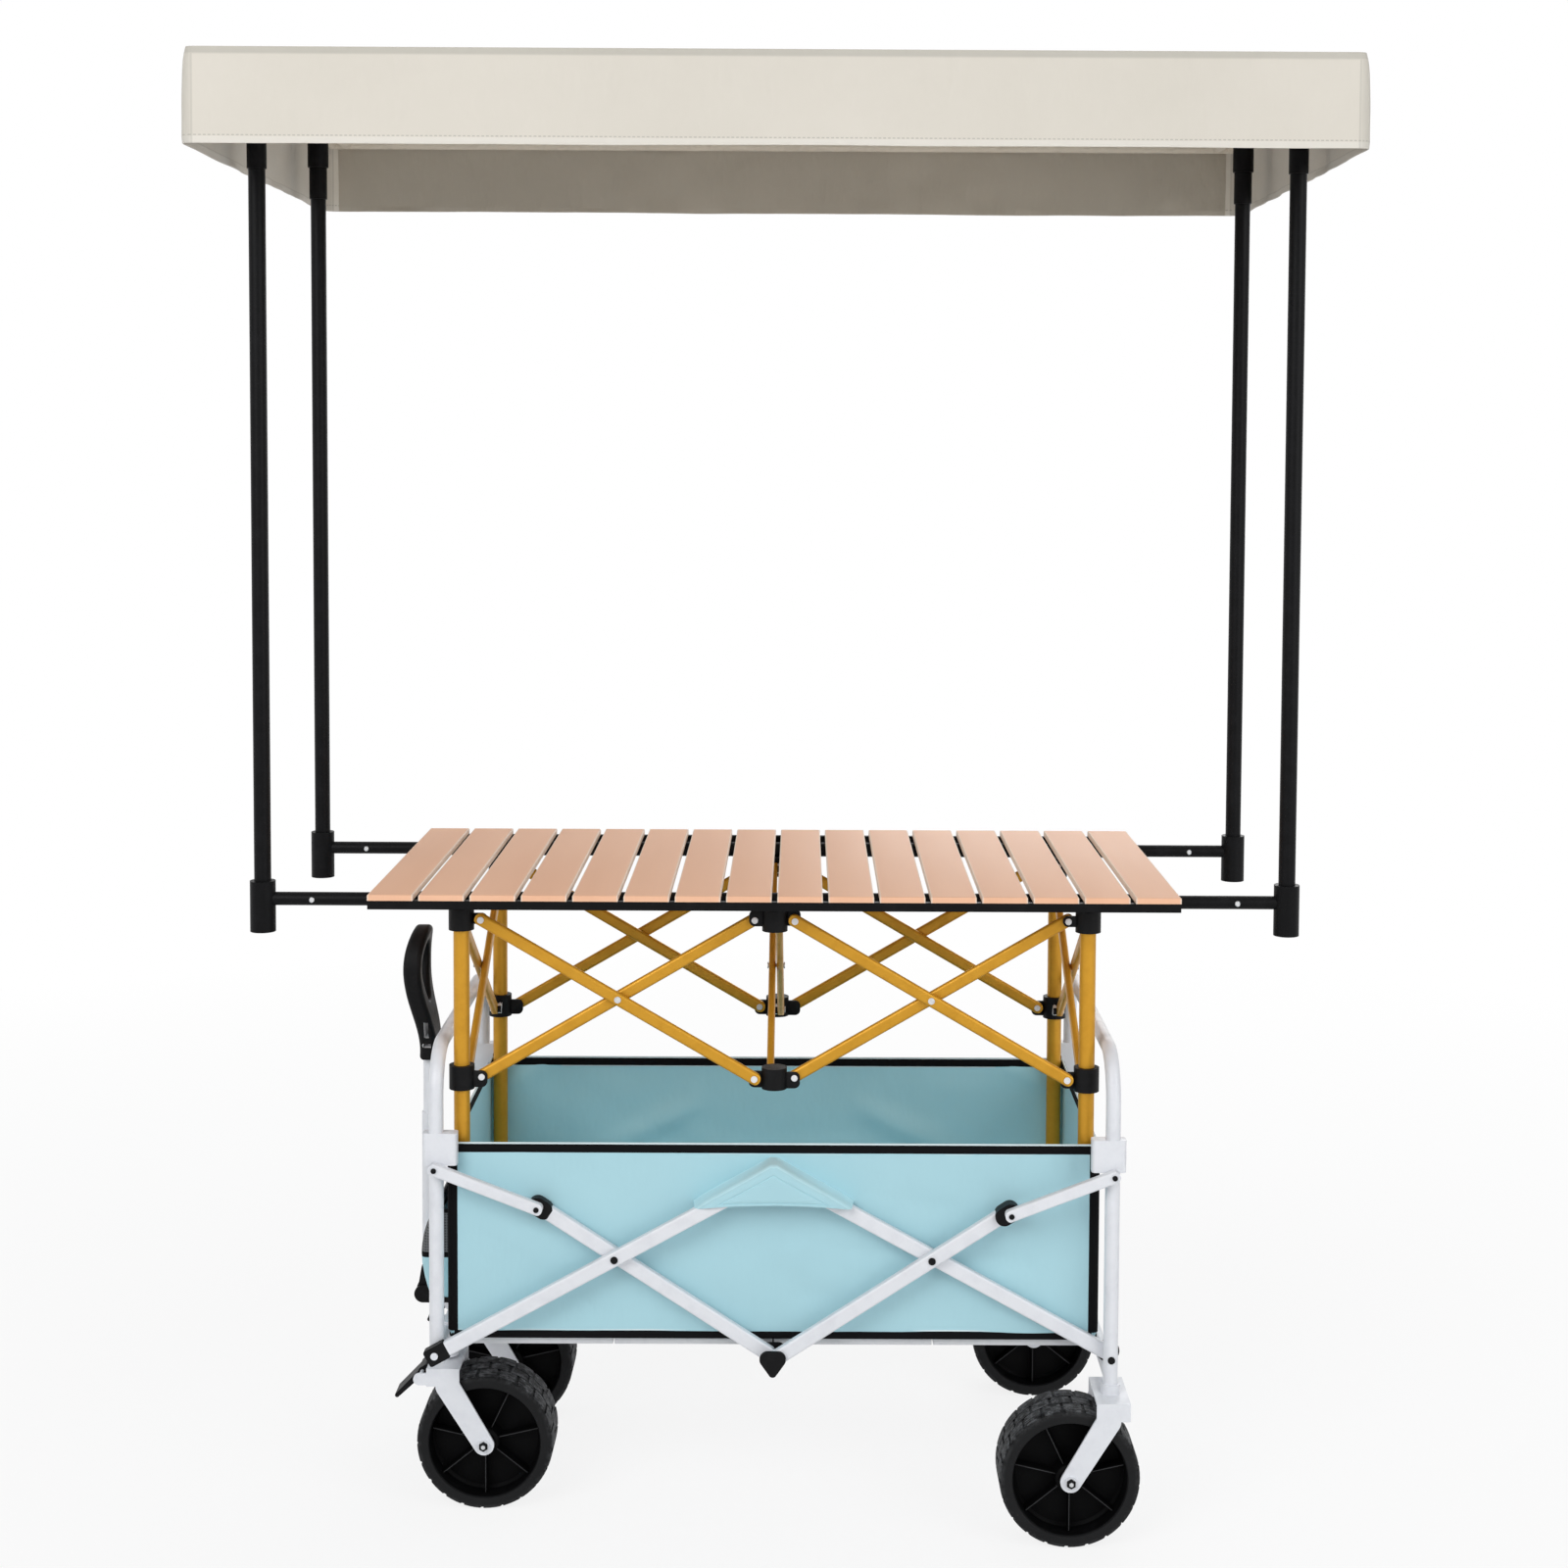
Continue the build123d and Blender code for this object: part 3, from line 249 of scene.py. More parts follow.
def canopy_cloth_look(name, colour, shade):
    """Canopy cloth with a greyer welt along the top edge, a paler stitched hem and corner seams."""
    look = cloth(name, colour, shade, soft=0.0016)
    x, y, z = look.parts(look.place())
    low, welt, welt_fade = ROOF_Z - VALANCE, 0.0095, 0.0125
    seam_in, seam_out, seam_line, line_half = 0.0105, 0.0085, 0.0115, 0.0015
    stitch_rise, stitch_half, stitch_long = 0.0016, 0.0009, 0.0032
    hem = z.below(low + HEM)
    top = z.ramp(ROOF_Z - welt_fade, ROOF_Z - welt)
    from_end = CANOPY_X - x.math("ABSOLUTE")
    fine_line = (from_end - seam_line).math("ABSOLUTE").below(line_half)
    seam = from_end.ramp(seam_in, seam_out) * 0.5 + fine_line * 0.6
    line = (z - (low + HEM + stitch_rise)).math("ABSOLUTE").below(stitch_half)
    dash = ((x + y) * (math.pi / stitch_long)).math("SINE").math("GREATER_THAN", -0.3)
    base = look.shader.inputs["Base Color"].links[0].from_socket
    tone = look.mix(hem * 0.4, Wire(look, base), (0.80, 0.775, 0.72))
    tone = look.mix(top.math("MAXIMUM", seam) * 0.6, tone, (0.42, 0.405, 0.355))
    look.drive(Base_Color=look.mix(line * dash * 0.5, tone, (0.36, 0.34, 0.30)))
    return look.material


def tyre_look():
    """Dark rubber: a plain grey side wall, and a tread with pale scuffs on its blocks and edges."""
    look = Look("tyre_rubber", Specular_IOR_Level=0.16)
    place = look.place()
    x, z = look.parts(place)[::2]
    ahead = x.math("ABSOLUTE") - AXLE_X
    height = z - AXLE_Z
    radius = (ahead * ahead + height * height).math("SQRT")
    tread = radius.ramp(WHEEL_R - 0.0085, WHEEL_R - 0.004)
    worn = radius.ramp(WHEEL_R - 0.0022, WHEEL_R - 0.0008)
    scuff = look.noise(place, scale=95.0, detail=7.0, rough=0.72).ramp(0.47, 0.62)
    streaks = look.stretch(place, (34.0, 260.0, 34.0))
    scrape = look.noise(streaks, detail=4.0, rough=0.6).ramp(0.5, 0.66)
    grain = look.noise(place, scale=1200.0, detail=2.0)
    blotch = look.noise(place, scale=16.0).ramp(0.35, 0.75)
    wall = look.mix(blotch, (0.0062, 0.0064, 0.0070), (0.0105, 0.0108, 0.0115))
    pale = scuff.math("MAXIMUM", scrape) * (worn * 0.46 + 0.10) * tread
    look.drive(Base_Color=look.mix(pale, wall, (0.23, 0.235, 0.245)), Roughness=pale * 0.3 + 0.58)
    look.bump(grain * 0.4 + pale, depth=0.0004)
    return look.material


def slat_look():
    """Peach coating with a fine grain along each slat and a painted highlight along its long edges."""
    look = Look("slat_peach", Specular_IOR_Level=0.12)
    place = look.place()
    x = look.parts(place)[0]
    grain = look.noise(look.stretch(place, (420.0, 6.0, 60.0)), detail=5.0, rough=0.6)
    tone = look.noise(look.stretch(place, (12.0, 1.5, 1.0)), detail=2.0).ramp(0.3, 0.7)
    half = (SLAT_PITCH - SLAT_GAP) / 2
    rim = ((x / SLAT_PITCH).math("FLOOR") * SLAT_PITCH + SLAT_PITCH / 2 - x).math("ABSOLUTE")
    # Painted highlight: the long edges of each slat are lightened
    pale = rim.ramp(half - 0.0026, half - 0.0008)
    colour = look.mix(tone * 0.5 + grain * 0.5, (0.83, 0.475, 0.305), (0.89, 0.535, 0.355))
    edge_highlighted = look.mix(pale * 0.85, colour, (0.84, 0.70, 0.59))
    look.drive(Base_Color=edge_highlighted, Roughness=grain * 0.15 + 0.42)
    look.bump(grain, depth=0.00012)
    return look.material


def net_look():
    """Grey sports mesh: small round holes in rows, painted near-black."""
    look = Look("pocket_net", Roughness=0.8)
    across, along = look.lie()
    pitch, hole_share = 0.0042, 0.085
    u = (across / pitch).math("FRACT") - 0.5
    v = (along / pitch).math("FRACT") - 0.5
    hole = (u * u + v * v).below(hole_share)
    look.drive(Base_Color=look.mix(hole, (0.13, 0.135, 0.14), (0.012, 0.012, 0.013)))
    look.bump(1.0 - hole, depth=0.0006)
    return look.material


def steel_look():
    """Zinc-plated steel with faint blotches."""
    look = Look("zinc_steel", Metallic=0.85)
    blotch = look.noise(look.place(), scale=220.0).ramp(0.35, 0.7)
    colour = look.mix(blotch, (0.72, 0.73, 0.74), (0.55, 0.56, 0.58))
    look.drive(Base_Color=colour, Roughness=blotch * 0.2 + 0.28)
    return look.material


def tape_look():
    """Black binding tape with fine ribs."""
    look = Look("binding_tape", Roughness=0.8, Specular_IOR_Level=0.1)
    across, along = look.lie()
    rib_pitch = 0.0009
    rib = ((across + along) * (math.pi / rib_pitch)).math("SINE").math("ABSOLUTE")
    look.drive(Base_Color=look.mix(rib, (0.0025, 0.0025, 0.003), (0.006, 0.006, 0.007)))
    look.bump(rib, depth=0.0002)
    return look.material


WHITE = coated_tube("white_powder_coat", (0.77, 0.785, 0.82), (0.71, 0.725, 0.765), 0.34, coat=0.1)
GOLD = coated_tube(
    "gold_anodising", (0.61, 0.305, 0.024), (0.54, 0.262, 0.018), 0.34, metal=0.3, shine=0.25
)
BLACK_TUBE = coated_tube(
    "black_powder_coat", (0.0045, 0.0045, 0.005), (0.008, 0.008, 0.009), 0.36, shine=0.09
)
BLACK = moulded("black_moulding", (0.0035, 0.0035, 0.004), (0.009, 0.009, 0.010), 0.42, shine=0.14)
WEB = moulded("wheel_web", (0.0016, 0.0016, 0.0018), (0.004, 0.004, 0.0045), 0.5, shine=0.07)
# A lighter copy of the web's plastic for the rib tops: a painted highlight
RIB_TOP_HIGHLIGHT = moulded("rib_top_painted_highlight", (0.035, 0.035, 0.037), (0.06, 0.06, 0.063), 0.45, shine=0.2)
GREY_BOARD = moulded("grey_board", (0.66, 0.67, 0.69), (0.58, 0.59, 0.62), 0.55, shine=0.3)
WHITE_CAP = moulded("white_cap", (0.80, 0.80, 0.81), (0.7, 0.7, 0.71), 0.4)
STEEL = steel_look()
RUBBER = tyre_look()
SLAT = slat_look()
NET = net_look()
TAPE = tape_look()
AQUA = cloth("aqua_weave", (0.45, 0.715, 0.785), (0.405, 0.66, 0.73)).material
# A lighter, bluer copy of the aqua for the basket's inside: painted light for the light bounced about
# inside it
AQUA_INSIDE_PAINTED_LIGHT = cloth("aqua_inside_painted_light", (0.465, 0.80, 0.89), (0.42, 0.745, 0.83)).material
# A paler copy of the aqua for the pockets' flanks: painted light that lifts the table's shadow off them
POCKET_FLANK_PAINTED_LIGHT = cloth("aqua_pocket_flank_painted_light", (0.56, 0.85, 0.92), (0.52, 0.80, 0.87)).material
# Pale piping; also a painted highlight on top of the rim binding
PIPING_AND_HIGHLIGHT = cloth("pale_piping_and_highlight", (0.76, 0.87, 0.89), (0.68, 0.82, 0.85)).material
CREAM = canopy_cloth_look("canopy_cream", (0.725, 0.68, 0.605), (0.655, 0.615, 0.54))
# Lighter copies of the cream for the canopy's inner faces: painted light in the shaded inside, most at the
# ends, where light shines through the cloth
CANOPY_END_INSIDE_PAINTED_LIGHT = canopy_cloth_look("canopy_end_inside_painted_light", (0.86, 0.825, 0.745), (0.75, 0.715, 0.635))
CANOPY_INSIDE_PAINTED_LIGHT = cloth("canopy_inside_painted_light", (0.84, 0.775, 0.655), (0.72, 0.665, 0.56), soft=0.008).material


def dress(name, *looks):
    """Give a CAD node its finishes, each after the first with a test that picks its faces."""
    mesh = nodes[name].data
    mesh.materials.clear()
    mesh.materials.append(looks[0])
    for look, test in looks[1:]:
        mesh.materials.append(look)
        index = len(mesh.materials) - 1
        for face in mesh.polygons:
            if test(face.center):
                face.material_index = index


def near(point, x, z, reach):
    """True where a face's middle is that close to a line across the cart."""
    return math.hypot(abs(point.x) - x, point.z - z) < reach


def pin_head(x, z, reach, face):
    """A test for the head of a pin across the cart that stands out of that face."""
    return lambda point: near(point, x, z, reach) and abs(point.y) > face


def rivet_on_hub(point):
    """True on the rivets that stand outside the struts at a table hub."""
    reach = 0.0056
    x, from_row = abs(point.x), abs(abs(point.y) - ROW_Y)
    for hub in (0.0, HUB_X):
        if abs(abs(x - hub) - LUG) < reach and from_row > STRUT_OUT:
            return True
        if abs(from_row - LUG) < reach and abs(x - hub) > STRUT_OUT:
            return True
    return False


def dress_frame():
    """Finishes for the pieces that stay as the CAD has them."""
    cap_back, cap_reach, foot_reach = 0.0055, 0.0205, 0.0255
    crossing_reach, pin_reach = 0.0058, 0.0045
    hub_low, leg_foot_top, knuckle_top = UPPER_Z - 0.0165, 0.304, 0.312
    slot_reach, notch_reach, groove_half = 0.0135, 0.0070, 0.0037
    cap_x, cap_z = KNEE_X - cap_back * SHORT_RUN, KNEE_Z - cap_back * SHORT_RISE
    knee = (BLACK, lambda p: near(p, cap_x, cap_z, cap_reach))
    foot = (BLACK, lambda p: near(p, FOOT_X, FOOT_Z, foot_reach))
    crossing = (BLACK, pin_head(CROSS_X, CROSS_Z, crossing_reach, OUTER_FACE))
    dress("long_tubes_left", WHITE, foot, crossing)
    dress("long_tubes_right", WHITE)
    dress("short_tubes_left", WHITE, knee)
    dress("short_tubes_right", WHITE, knee, crossing)
    for end, face in (("left", OUTER_FACE), ("right", LINK_FACE)):
        dress(f"link_tubes_{end}", WHITE, (BLACK, pin_head(KNEE_X, KNEE_Z, pin_reach, face)))
        dress(f"end_frame_{end}", WHITE, (BLACK, pin_head(LINK_X, LINK_Z, pin_reach, face)))
        dress(f"brackets_{end}", BLACK)
    rivets = (WHITE_CAP, rivet_on_hub)
    side_rivet = (STEEL, lambda p: abs(p.y) - ROW_Y > STRUT_OUT)
    leg_ends = (BLACK, lambda p: p.z > hub_low or p.z < leg_foot_top)
    for row in ("front", "back"):
        dress(f"caster_fork_{row}", WHITE)
        dress(f"brake_pedal_{row}", BLACK)
        dress(f"hub_upper_{row}", BLACK, rivets)
        dress(f"hub_lower_{row}", BLACK, rivets)
        dress(f"centre_strut_{row}", GOLD)
        for end in ("left", "right"):
            dress(f"table_leg_{row}_{end}", GOLD, leg_ends, rivets)
            dress(f"slider_{row}_{end}", BLACK, rivets)
            for way in ("down", "up"):
                dress(f"strut_{way}_{row}_{end}", GOLD, side_rivet)
            dress(f"end_strut_{row}_{end}", GOLD, (STEEL, lambda p: abs(p.x) - HUB_X > STRUT_OUT))
            dress(f"snap_button_{row}_{end}", STEEL)
    dress("centre_hinge", BLACK)
    dress("table_pin", STEEL)
    dress("handle_tube", WHITE, (BLACK, lambda p: p.z < knuckle_top))
    dress(
        "handle_grip", BLACK, (WHITE, lambda p: p.z < GRIP_BOTTOM - 0.0005),
        (WHITE_CAP, lambda p: near(p, HANDLE_X, YOKE_SLOT, slot_reach)
         and abs(p.x + HANDLE_X) < groove_half),
        (WHITE_CAP, lambda p: near(p, HANDLE_X, YOKE_NOTCH, notch_reach)
         and abs(p.z - YOKE_NOTCH) < groove_half),
    )
    dress("rails", BLACK_TUBE)
    dress("canopy_posts", BLACK_TUBE)
    dress("canopy_frame", CANOPY_INSIDE_PAINTED_LIGHT)


def leave_edit():
    """Go back to object mode."""
    bpy.ops.object.mode_set(mode="OBJECT")


def deselect():
    """Leave edit mode and select nothing."""
    if bpy.context.object and bpy.context.object.mode != "OBJECT":
        leave_edit()
    bpy.ops.object.select_all(action="DESELECT")


def activate(piece):
    """Leave edit mode and select this piece alone."""
    deselect()
    piece.select_set(True)
    bpy.context.view_layer.objects.active = piece


def started(name, scale=None):
    """Name the primitive just added, and put its place and size into its mesh."""
    piece = bpy.context.object
    piece.name = name
    piece.data.name = name
    if scale:
        piece.scale = scale
    bpy.ops.object.transform_apply(location=True, rotation=True, scale=True)
    return piece


def new_block(name, low, high):
    """A block between two corners."""
    deselect()
    middle = [(a + b) / 2 for a, b in zip(low, high)]
    bpy.ops.mesh.primitive_cube_add(size=1, location=middle)
    return started(name, [b - a for a, b in zip(low, high)])


def new_grid(name, half_x, half_y, z, cuts_x, cuts_y):
    """A flat grid around the middle of the cart."""
    deselect()
    bpy.ops.mesh.primitive_grid_add(
        x_subdivisions=cuts_x, y_subdivisions=cuts_y, size=2, location=(0, 0, z)
    )
    return started(name, (half_x, half_y, 1))


def new_cylinder(name, sides, radius, depth, turn=1):
    """A cylinder along y whose top faces -y, or +y where turn is -1."""
    deselect()
    bpy.ops.mesh.primitive_cylinder_add(
        vertices=sides, radius=radius, depth=depth, rotation=(turn * math.pi / 2, 0, 0)
    )
    return started(name)


def pick_none(piece):
    """Make a piece the active one, with nothing of its mesh selected."""
    activate(piece)
    mesh = piece.data
    for elements in (mesh.vertices, mesh.edges, mesh.polygons):
        elements.foreach_set("select", [False] * len(elements))
    return mesh


def pick_faces(piece, test):
    """Go into edit mode with the faces selected whose middle and normal pass the test."""
    for face in pick_none(piece).polygons:
        face.select = test(face.center, face.normal)
    bpy.context.tool_settings.mesh_select_mode = (False, False, True)
    bpy.ops.object.mode_set(mode="EDIT")


def pick_all(piece):
    """Go into edit mode with every face selected."""
    pick_faces(piece, lambda middle, normal: True)


def pick_edges(piece, test):
    """Go into edit mode with the edges selected whose two ends pass the test."""
    mesh = pick_none(piece)
    for edge in mesh.edges:
        edge.select = test(*(mesh.vertices[i].co for i in edge.vertices))
    bpy.context.tool_settings.mesh_select_mode = (False, True, False)
    bpy.ops.object.mode_set(mode="EDIT")


def cut(piece, spot, direction):
    """Cut a piece's faces along the plane through a spot."""
    pick_all(piece)
    bpy.ops.mesh.bisect(plane_co=spot, plane_no=direction)
    leave_edit()


def inset(*steps):
    """Inset the selected faces step by step, each a width and a depth, and leave edit mode."""
    for width, depth in steps:
        bpy.ops.mesh.inset(thickness=width, depth=depth)
    leave_edit()


def bevel(offset, segments):
    """Bevel the selected edges or faces, and leave edit mode."""
    bpy.ops.mesh.bevel(offset=offset, segments=segments)
    leave_edit()


def flip(piece):
    """Turn a mirrored piece's faces outward again."""
    pick_all(piece)
    bpy.ops.mesh.flip_normals()
    leave_edit()


def modify(piece, kind, **settings):
    """Add a modifier and apply it."""
    activate(piece)
    made = piece.modifiers.new(kind.title(), kind)
    for key, value in settings.items():
        setattr(made, key, value)
    bpy.ops.object.modifier_apply(modifier=made.name)


def soften(piece, width, segments, angle):
    """Bevel the edges that are sharper than an angle in degrees."""
    modify(
        piece, "BEVEL", width=width, segments=segments, limit_method="ANGLE",
        angle_limit=math.radians(angle),
    )


def smooth(piece, angle):
    """Shade smooth apart from corners sharper than an angle in degrees."""
    activate(piece)
    bpy.ops.object.shade_smooth_by_angle(angle=math.radians(angle))


def shape(piece, move):
    """Move every point of a piece by a rule."""
    for point in piece.data.vertices:
        point.co = move(point.co.copy())


def ripple(x, y, z):
    """Smooth noise around zero."""
    return noise.noise(Vector((x, y, z)))


def clamp(value):
    """A share, kept from 0 to 1."""
    return min(1.0, max(0.0, value))


def lay_map(piece):
    """A map in metres over the piece, each face laid flat along the direction it faces."""
    mesh = piece.data
    layer = mesh.uv_layers.active or mesh.uv_layers.new(name="lay")
    for face in mesh.polygons:
        facing = max(range(3), key=lambda i: abs(face.normal[i]))
        first, second = [i for i in range(3) if i != facing]
        for loop in face.loop_indices:
            co = mesh.vertices[mesh.loops[loop].vertex_index].co
            layer.data[loop].uv = (co[first], co[second])


def copy_of(piece, name):
    """A copy of a piece with a mesh of its own."""
    double = piece.copy()
    double.data = piece.data.copy()
    double.name = name
    double.data.name = name
    bpy.context.scene.collection.objects.link(double)
    return double


def mirrored(piece, name, flip_x, flip_y):
    """A copy of a piece, mirrored in x or y where that flip is -1."""
    double = copy_of(piece, name)
    shape(double, lambda co: Vector((co.x * flip_x, co.y * flip_y, co.z)))
    if flip_x * flip_y < 0:
        flip(double)
    return double


def join(name, *pieces):
    """Join pieces into one mesh with the first one's place."""
    deselect()
    for piece in pieces:
        piece.select_set(True)
    bpy.context.view_layer.objects.active = pieces[0]
    if len(pieces) > 1:
        bpy.ops.object.join()
    pieces[0].name = name
    return pieces[0]


def paint(piece, *looks):
    """Add finishes to a piece."""
    for look in looks:
        piece.data.materials.append(look)


def place_piece(piece, body, slot, *looks, nodes_replaced=()):
    """Give a finished piece its finishes and its body."""
    paint(piece, *looks)
    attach(piece, body)
    if nodes_replaced:
        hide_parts(*nodes_replaced)


def fold_with_cart(piece):
    """Give a soft piece a mesh of its own."""
    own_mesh(piece)


def extrude_rows(piece, rows):
    """Pull the open edge of a sheet up in steps, or down where a step is negative."""
    pick_all(piece)
    bpy.ops.mesh.region_to_loop()
    for step in rows:
        bpy.ops.mesh.extrude_edges_move(TRANSFORM_OT_translate={"value": (0, 0, step)})
    leave_edit()


def make_canopy():
    """The box-shaped canopy cloth: a roof that sags between its bars and four valances with a hem."""
    inside, top, hem_step, cloth_thick = 0.0012, ROOF_Z - 0.001, 0.0005, 0.0016
    cuts_x, cuts_y, steps, level = 80, 50, 7, 0.004
    sag_x, sag_y, sag, sag_wave = 0.74, 0.47, 0.013, 0.005
    wave_deep, fine_deep, hem_deep, hem_wave = 0.0042, 0.0016, 0.0011, 0.0016
    back_fold, end_fold, front_share, corner_pull = 0.0085, 0.0045, 0.6, 0.003
    drop = VALANCE - HEM - 0.001
    canopy = new_grid("canopy", CANOPY_X - inside, CANOPY_Y - inside, top, cuts_x, cuts_y)
    extrude_rows(canopy, [-drop / steps] * steps + [-hem_step] + [-(HEM - hem_step) / 2] * 2)

    def hang(co):
        down = max(0.0, top - co.z) / VALANCE
        side_x = abs(co.x) > CANOPY_X - AT_EDGE
        side_y = abs(co.y) > CANOPY_Y - AT_EDGE
        if down < level:
            if not (side_x or side_y):
                slack = max(0.0, 1 - (co.x / sag_x) ** 2) * max(0.0, 1 - (co.y / sag_y) ** 2)
                co.z -= slack * (sag + sag_wave * ripple(co.x * 3.1, co.y * 3.1, 7.0))
            return co
        wave = ripple(co.x * 4.0, co.y * 4.0, co.z * 5.0)
        fine = ripple(co.x * 17.0, co.y * 17.0, co.z * 9.0 + 3.0)
        swell = (wave_deep * wave + fine_deep * fine) * down
        if down > 1 - HEM / VALANCE:
            swell += hem_deep
            co.z += hem_wave * ripple(co.x * 5.0, co.y * 5.0, 1.5)
        # The valances only ever swell outward: copysign drops the sign of its first number
        back = co.y > 0
        if side_y and not side_x:
            fold = back_fold * ripple(co.x * 11.0, co.z * 26.0, 4.0) * down if back else 0.0
            co.y += math.copysign(swell * (1.0 if back else front_share) + fold, co.y)
        if side_x and not side_y:
            fold = end_fold * math.sin(co.y * 31.0 + 2.5 * math.sin(co.y * 7.0)) * down
            co.x += math.copysign(swell + fold * 0.6, co.x)
        if side_x and side_y:
            pull = corner_pull * down * (0.3 if co.x > 0 or not back else 2.0)
            co.x -= math.copysign(pull, co.x)
            co.y -= math.copysign(pull * 0.5, co.y)
        if side_x:
            co.x += math.copysign(FLARE * min(1.0, 0.5 + down), co.x)
        return co

    def roof_edge(a, b):
        at_end = min(abs(a.x), abs(b.x)) > CANOPY_X - AT_EDGE
        at_side = min(abs(a.y), abs(b.y)) > CANOPY_Y - AT_EDGE
        return min(a.z, b.z) > ROOF_Z - AT_EDGE and (at_end or at_side)

    shape(canopy, hang)
    pick_edges(canopy, roof_edge)
    bpy.ops.transform.edge_crease(value=0.7)
    # The inner faces take the lighter cream copies: painted light under the canopy
    paint(canopy, CREAM, CANOPY_INSIDE_PAINTED_LIGHT, CANOPY_END_INSIDE_PAINTED_LIGHT)
    modify(
        canopy, "SOLIDIFY", thickness=cloth_thick, offset=-1, material_offset=1, use_quality_normals=True
    )
    for face in canopy.data.polygons:
        if face.material_index == 1 and abs(face.center.x) > CANOPY_X - 0.02:
            face.material_index = 2
    modify(canopy, "SUBSURF", levels=1, render_levels=1)
    lay_map(canopy)
    smooth(canopy, 50)
    place_piece(canopy, "canopy", "cream_fabric", nodes_replaced=("canopy_cloth",))


def ring_band(name, grow, corner, low, high, depth, edge):
    """A band of tape round the basket, from an outline with round corners."""
    spacing = 0.03
    deselect()
    bpy.ops.mesh.primitive_plane_add(size=2, location=(0, 0, low))
    band = started(name, (BASKET_X + grow, BASKET_Y + grow, 1))
    pick_all(band)
    bpy.ops.mesh.bevel(affect="VERTICES", offset=corner, segments=5)
    bpy.ops.mesh.inset(thickness=depth)
    bpy.ops.mesh.delete(type="FACE")
    bpy.ops.mesh.select_all(action="SELECT")
    bpy.ops.mesh.extrude_region_move(TRANSFORM_OT_translate={"value": (0, 0, high - low)})
    bpy.ops.mesh.select_all(action="SELECT")
    bpy.ops.mesh.normals_make_consistent(inside=False)
    leave_edit()
    soften(band, edge, 2, 50)
    count = int(2 * BASKET_X / spacing)
    for i in range(1, count):
        cut(band, (-BASKET_X + 2 * BASKET_X * i / count, 0, 0), (1, 0, 0))
    return band


def wall_sag(x, y, z):
    """How far the basket's slack wall stands out at a place."""
    bulge, wave_deep, pleat_deep, fold_deep = 0.0018, 0.0034, 0.0012, 0.0075
    pocket_x, pocket_z, pocket_half = 0.16, 0.53, 0.06
    belly = math.sin(math.pi * clamp((z - BASKET_FLOOR) / (BASKET_RIM - BASKET_FLOOR)))
    wave = ripple(x * 6.0, y * 6.0, z * 4.0)
    pleat = ripple(x * 21.0, y * 21.0, z * 7.0 + 5.0)
    fold = max(0.0, ripple(x * 8.0 + z * 14.0, y * 8.0, z * 10.0 - abs(x) * 6.0))
    from_pocket = math.hypot(x / pocket_x, (z - pocket_z) / pocket_half)
    free = clamp((from_pocket - 0.9) / 0.4)
    return belly * free * (bulge + wave_deep * wave + pleat_deep * pleat - fold_deep * fold)


def tube_press(x, z):
    """How far the back wall is pressed in along its tubes and pulled in at its upper corners."""
    tube_z, tube_fall, tube_deep, tube_half = 0.5615, 0.457, 0.012, 0.018
    pull_x, pull_z, pull_fall, pull_deep, pull_half = 0.392, 0.569, 0.467, 0.005, 0.014
    square_to_line = 0.91
    out = abs(x)
    from_tube = square_to_line * (z - tube_z + tube_fall * out)
    tube = tube_deep * math.exp(-((from_tube / tube_half) ** 2))
    tube *= clamp((out - 0.12) / 0.05) * clamp((0.33 - out) / 0.09)
    from_pull = square_to_line * (z - pull_z + pull_fall * (out - pull_x))
    pull = pull_deep * math.exp(-((from_pull / pull_half) ** 2)) * clamp((out - 0.36) / 0.04)
    return (tube + pull) * clamp((BASKET_X - out) / 0.02)


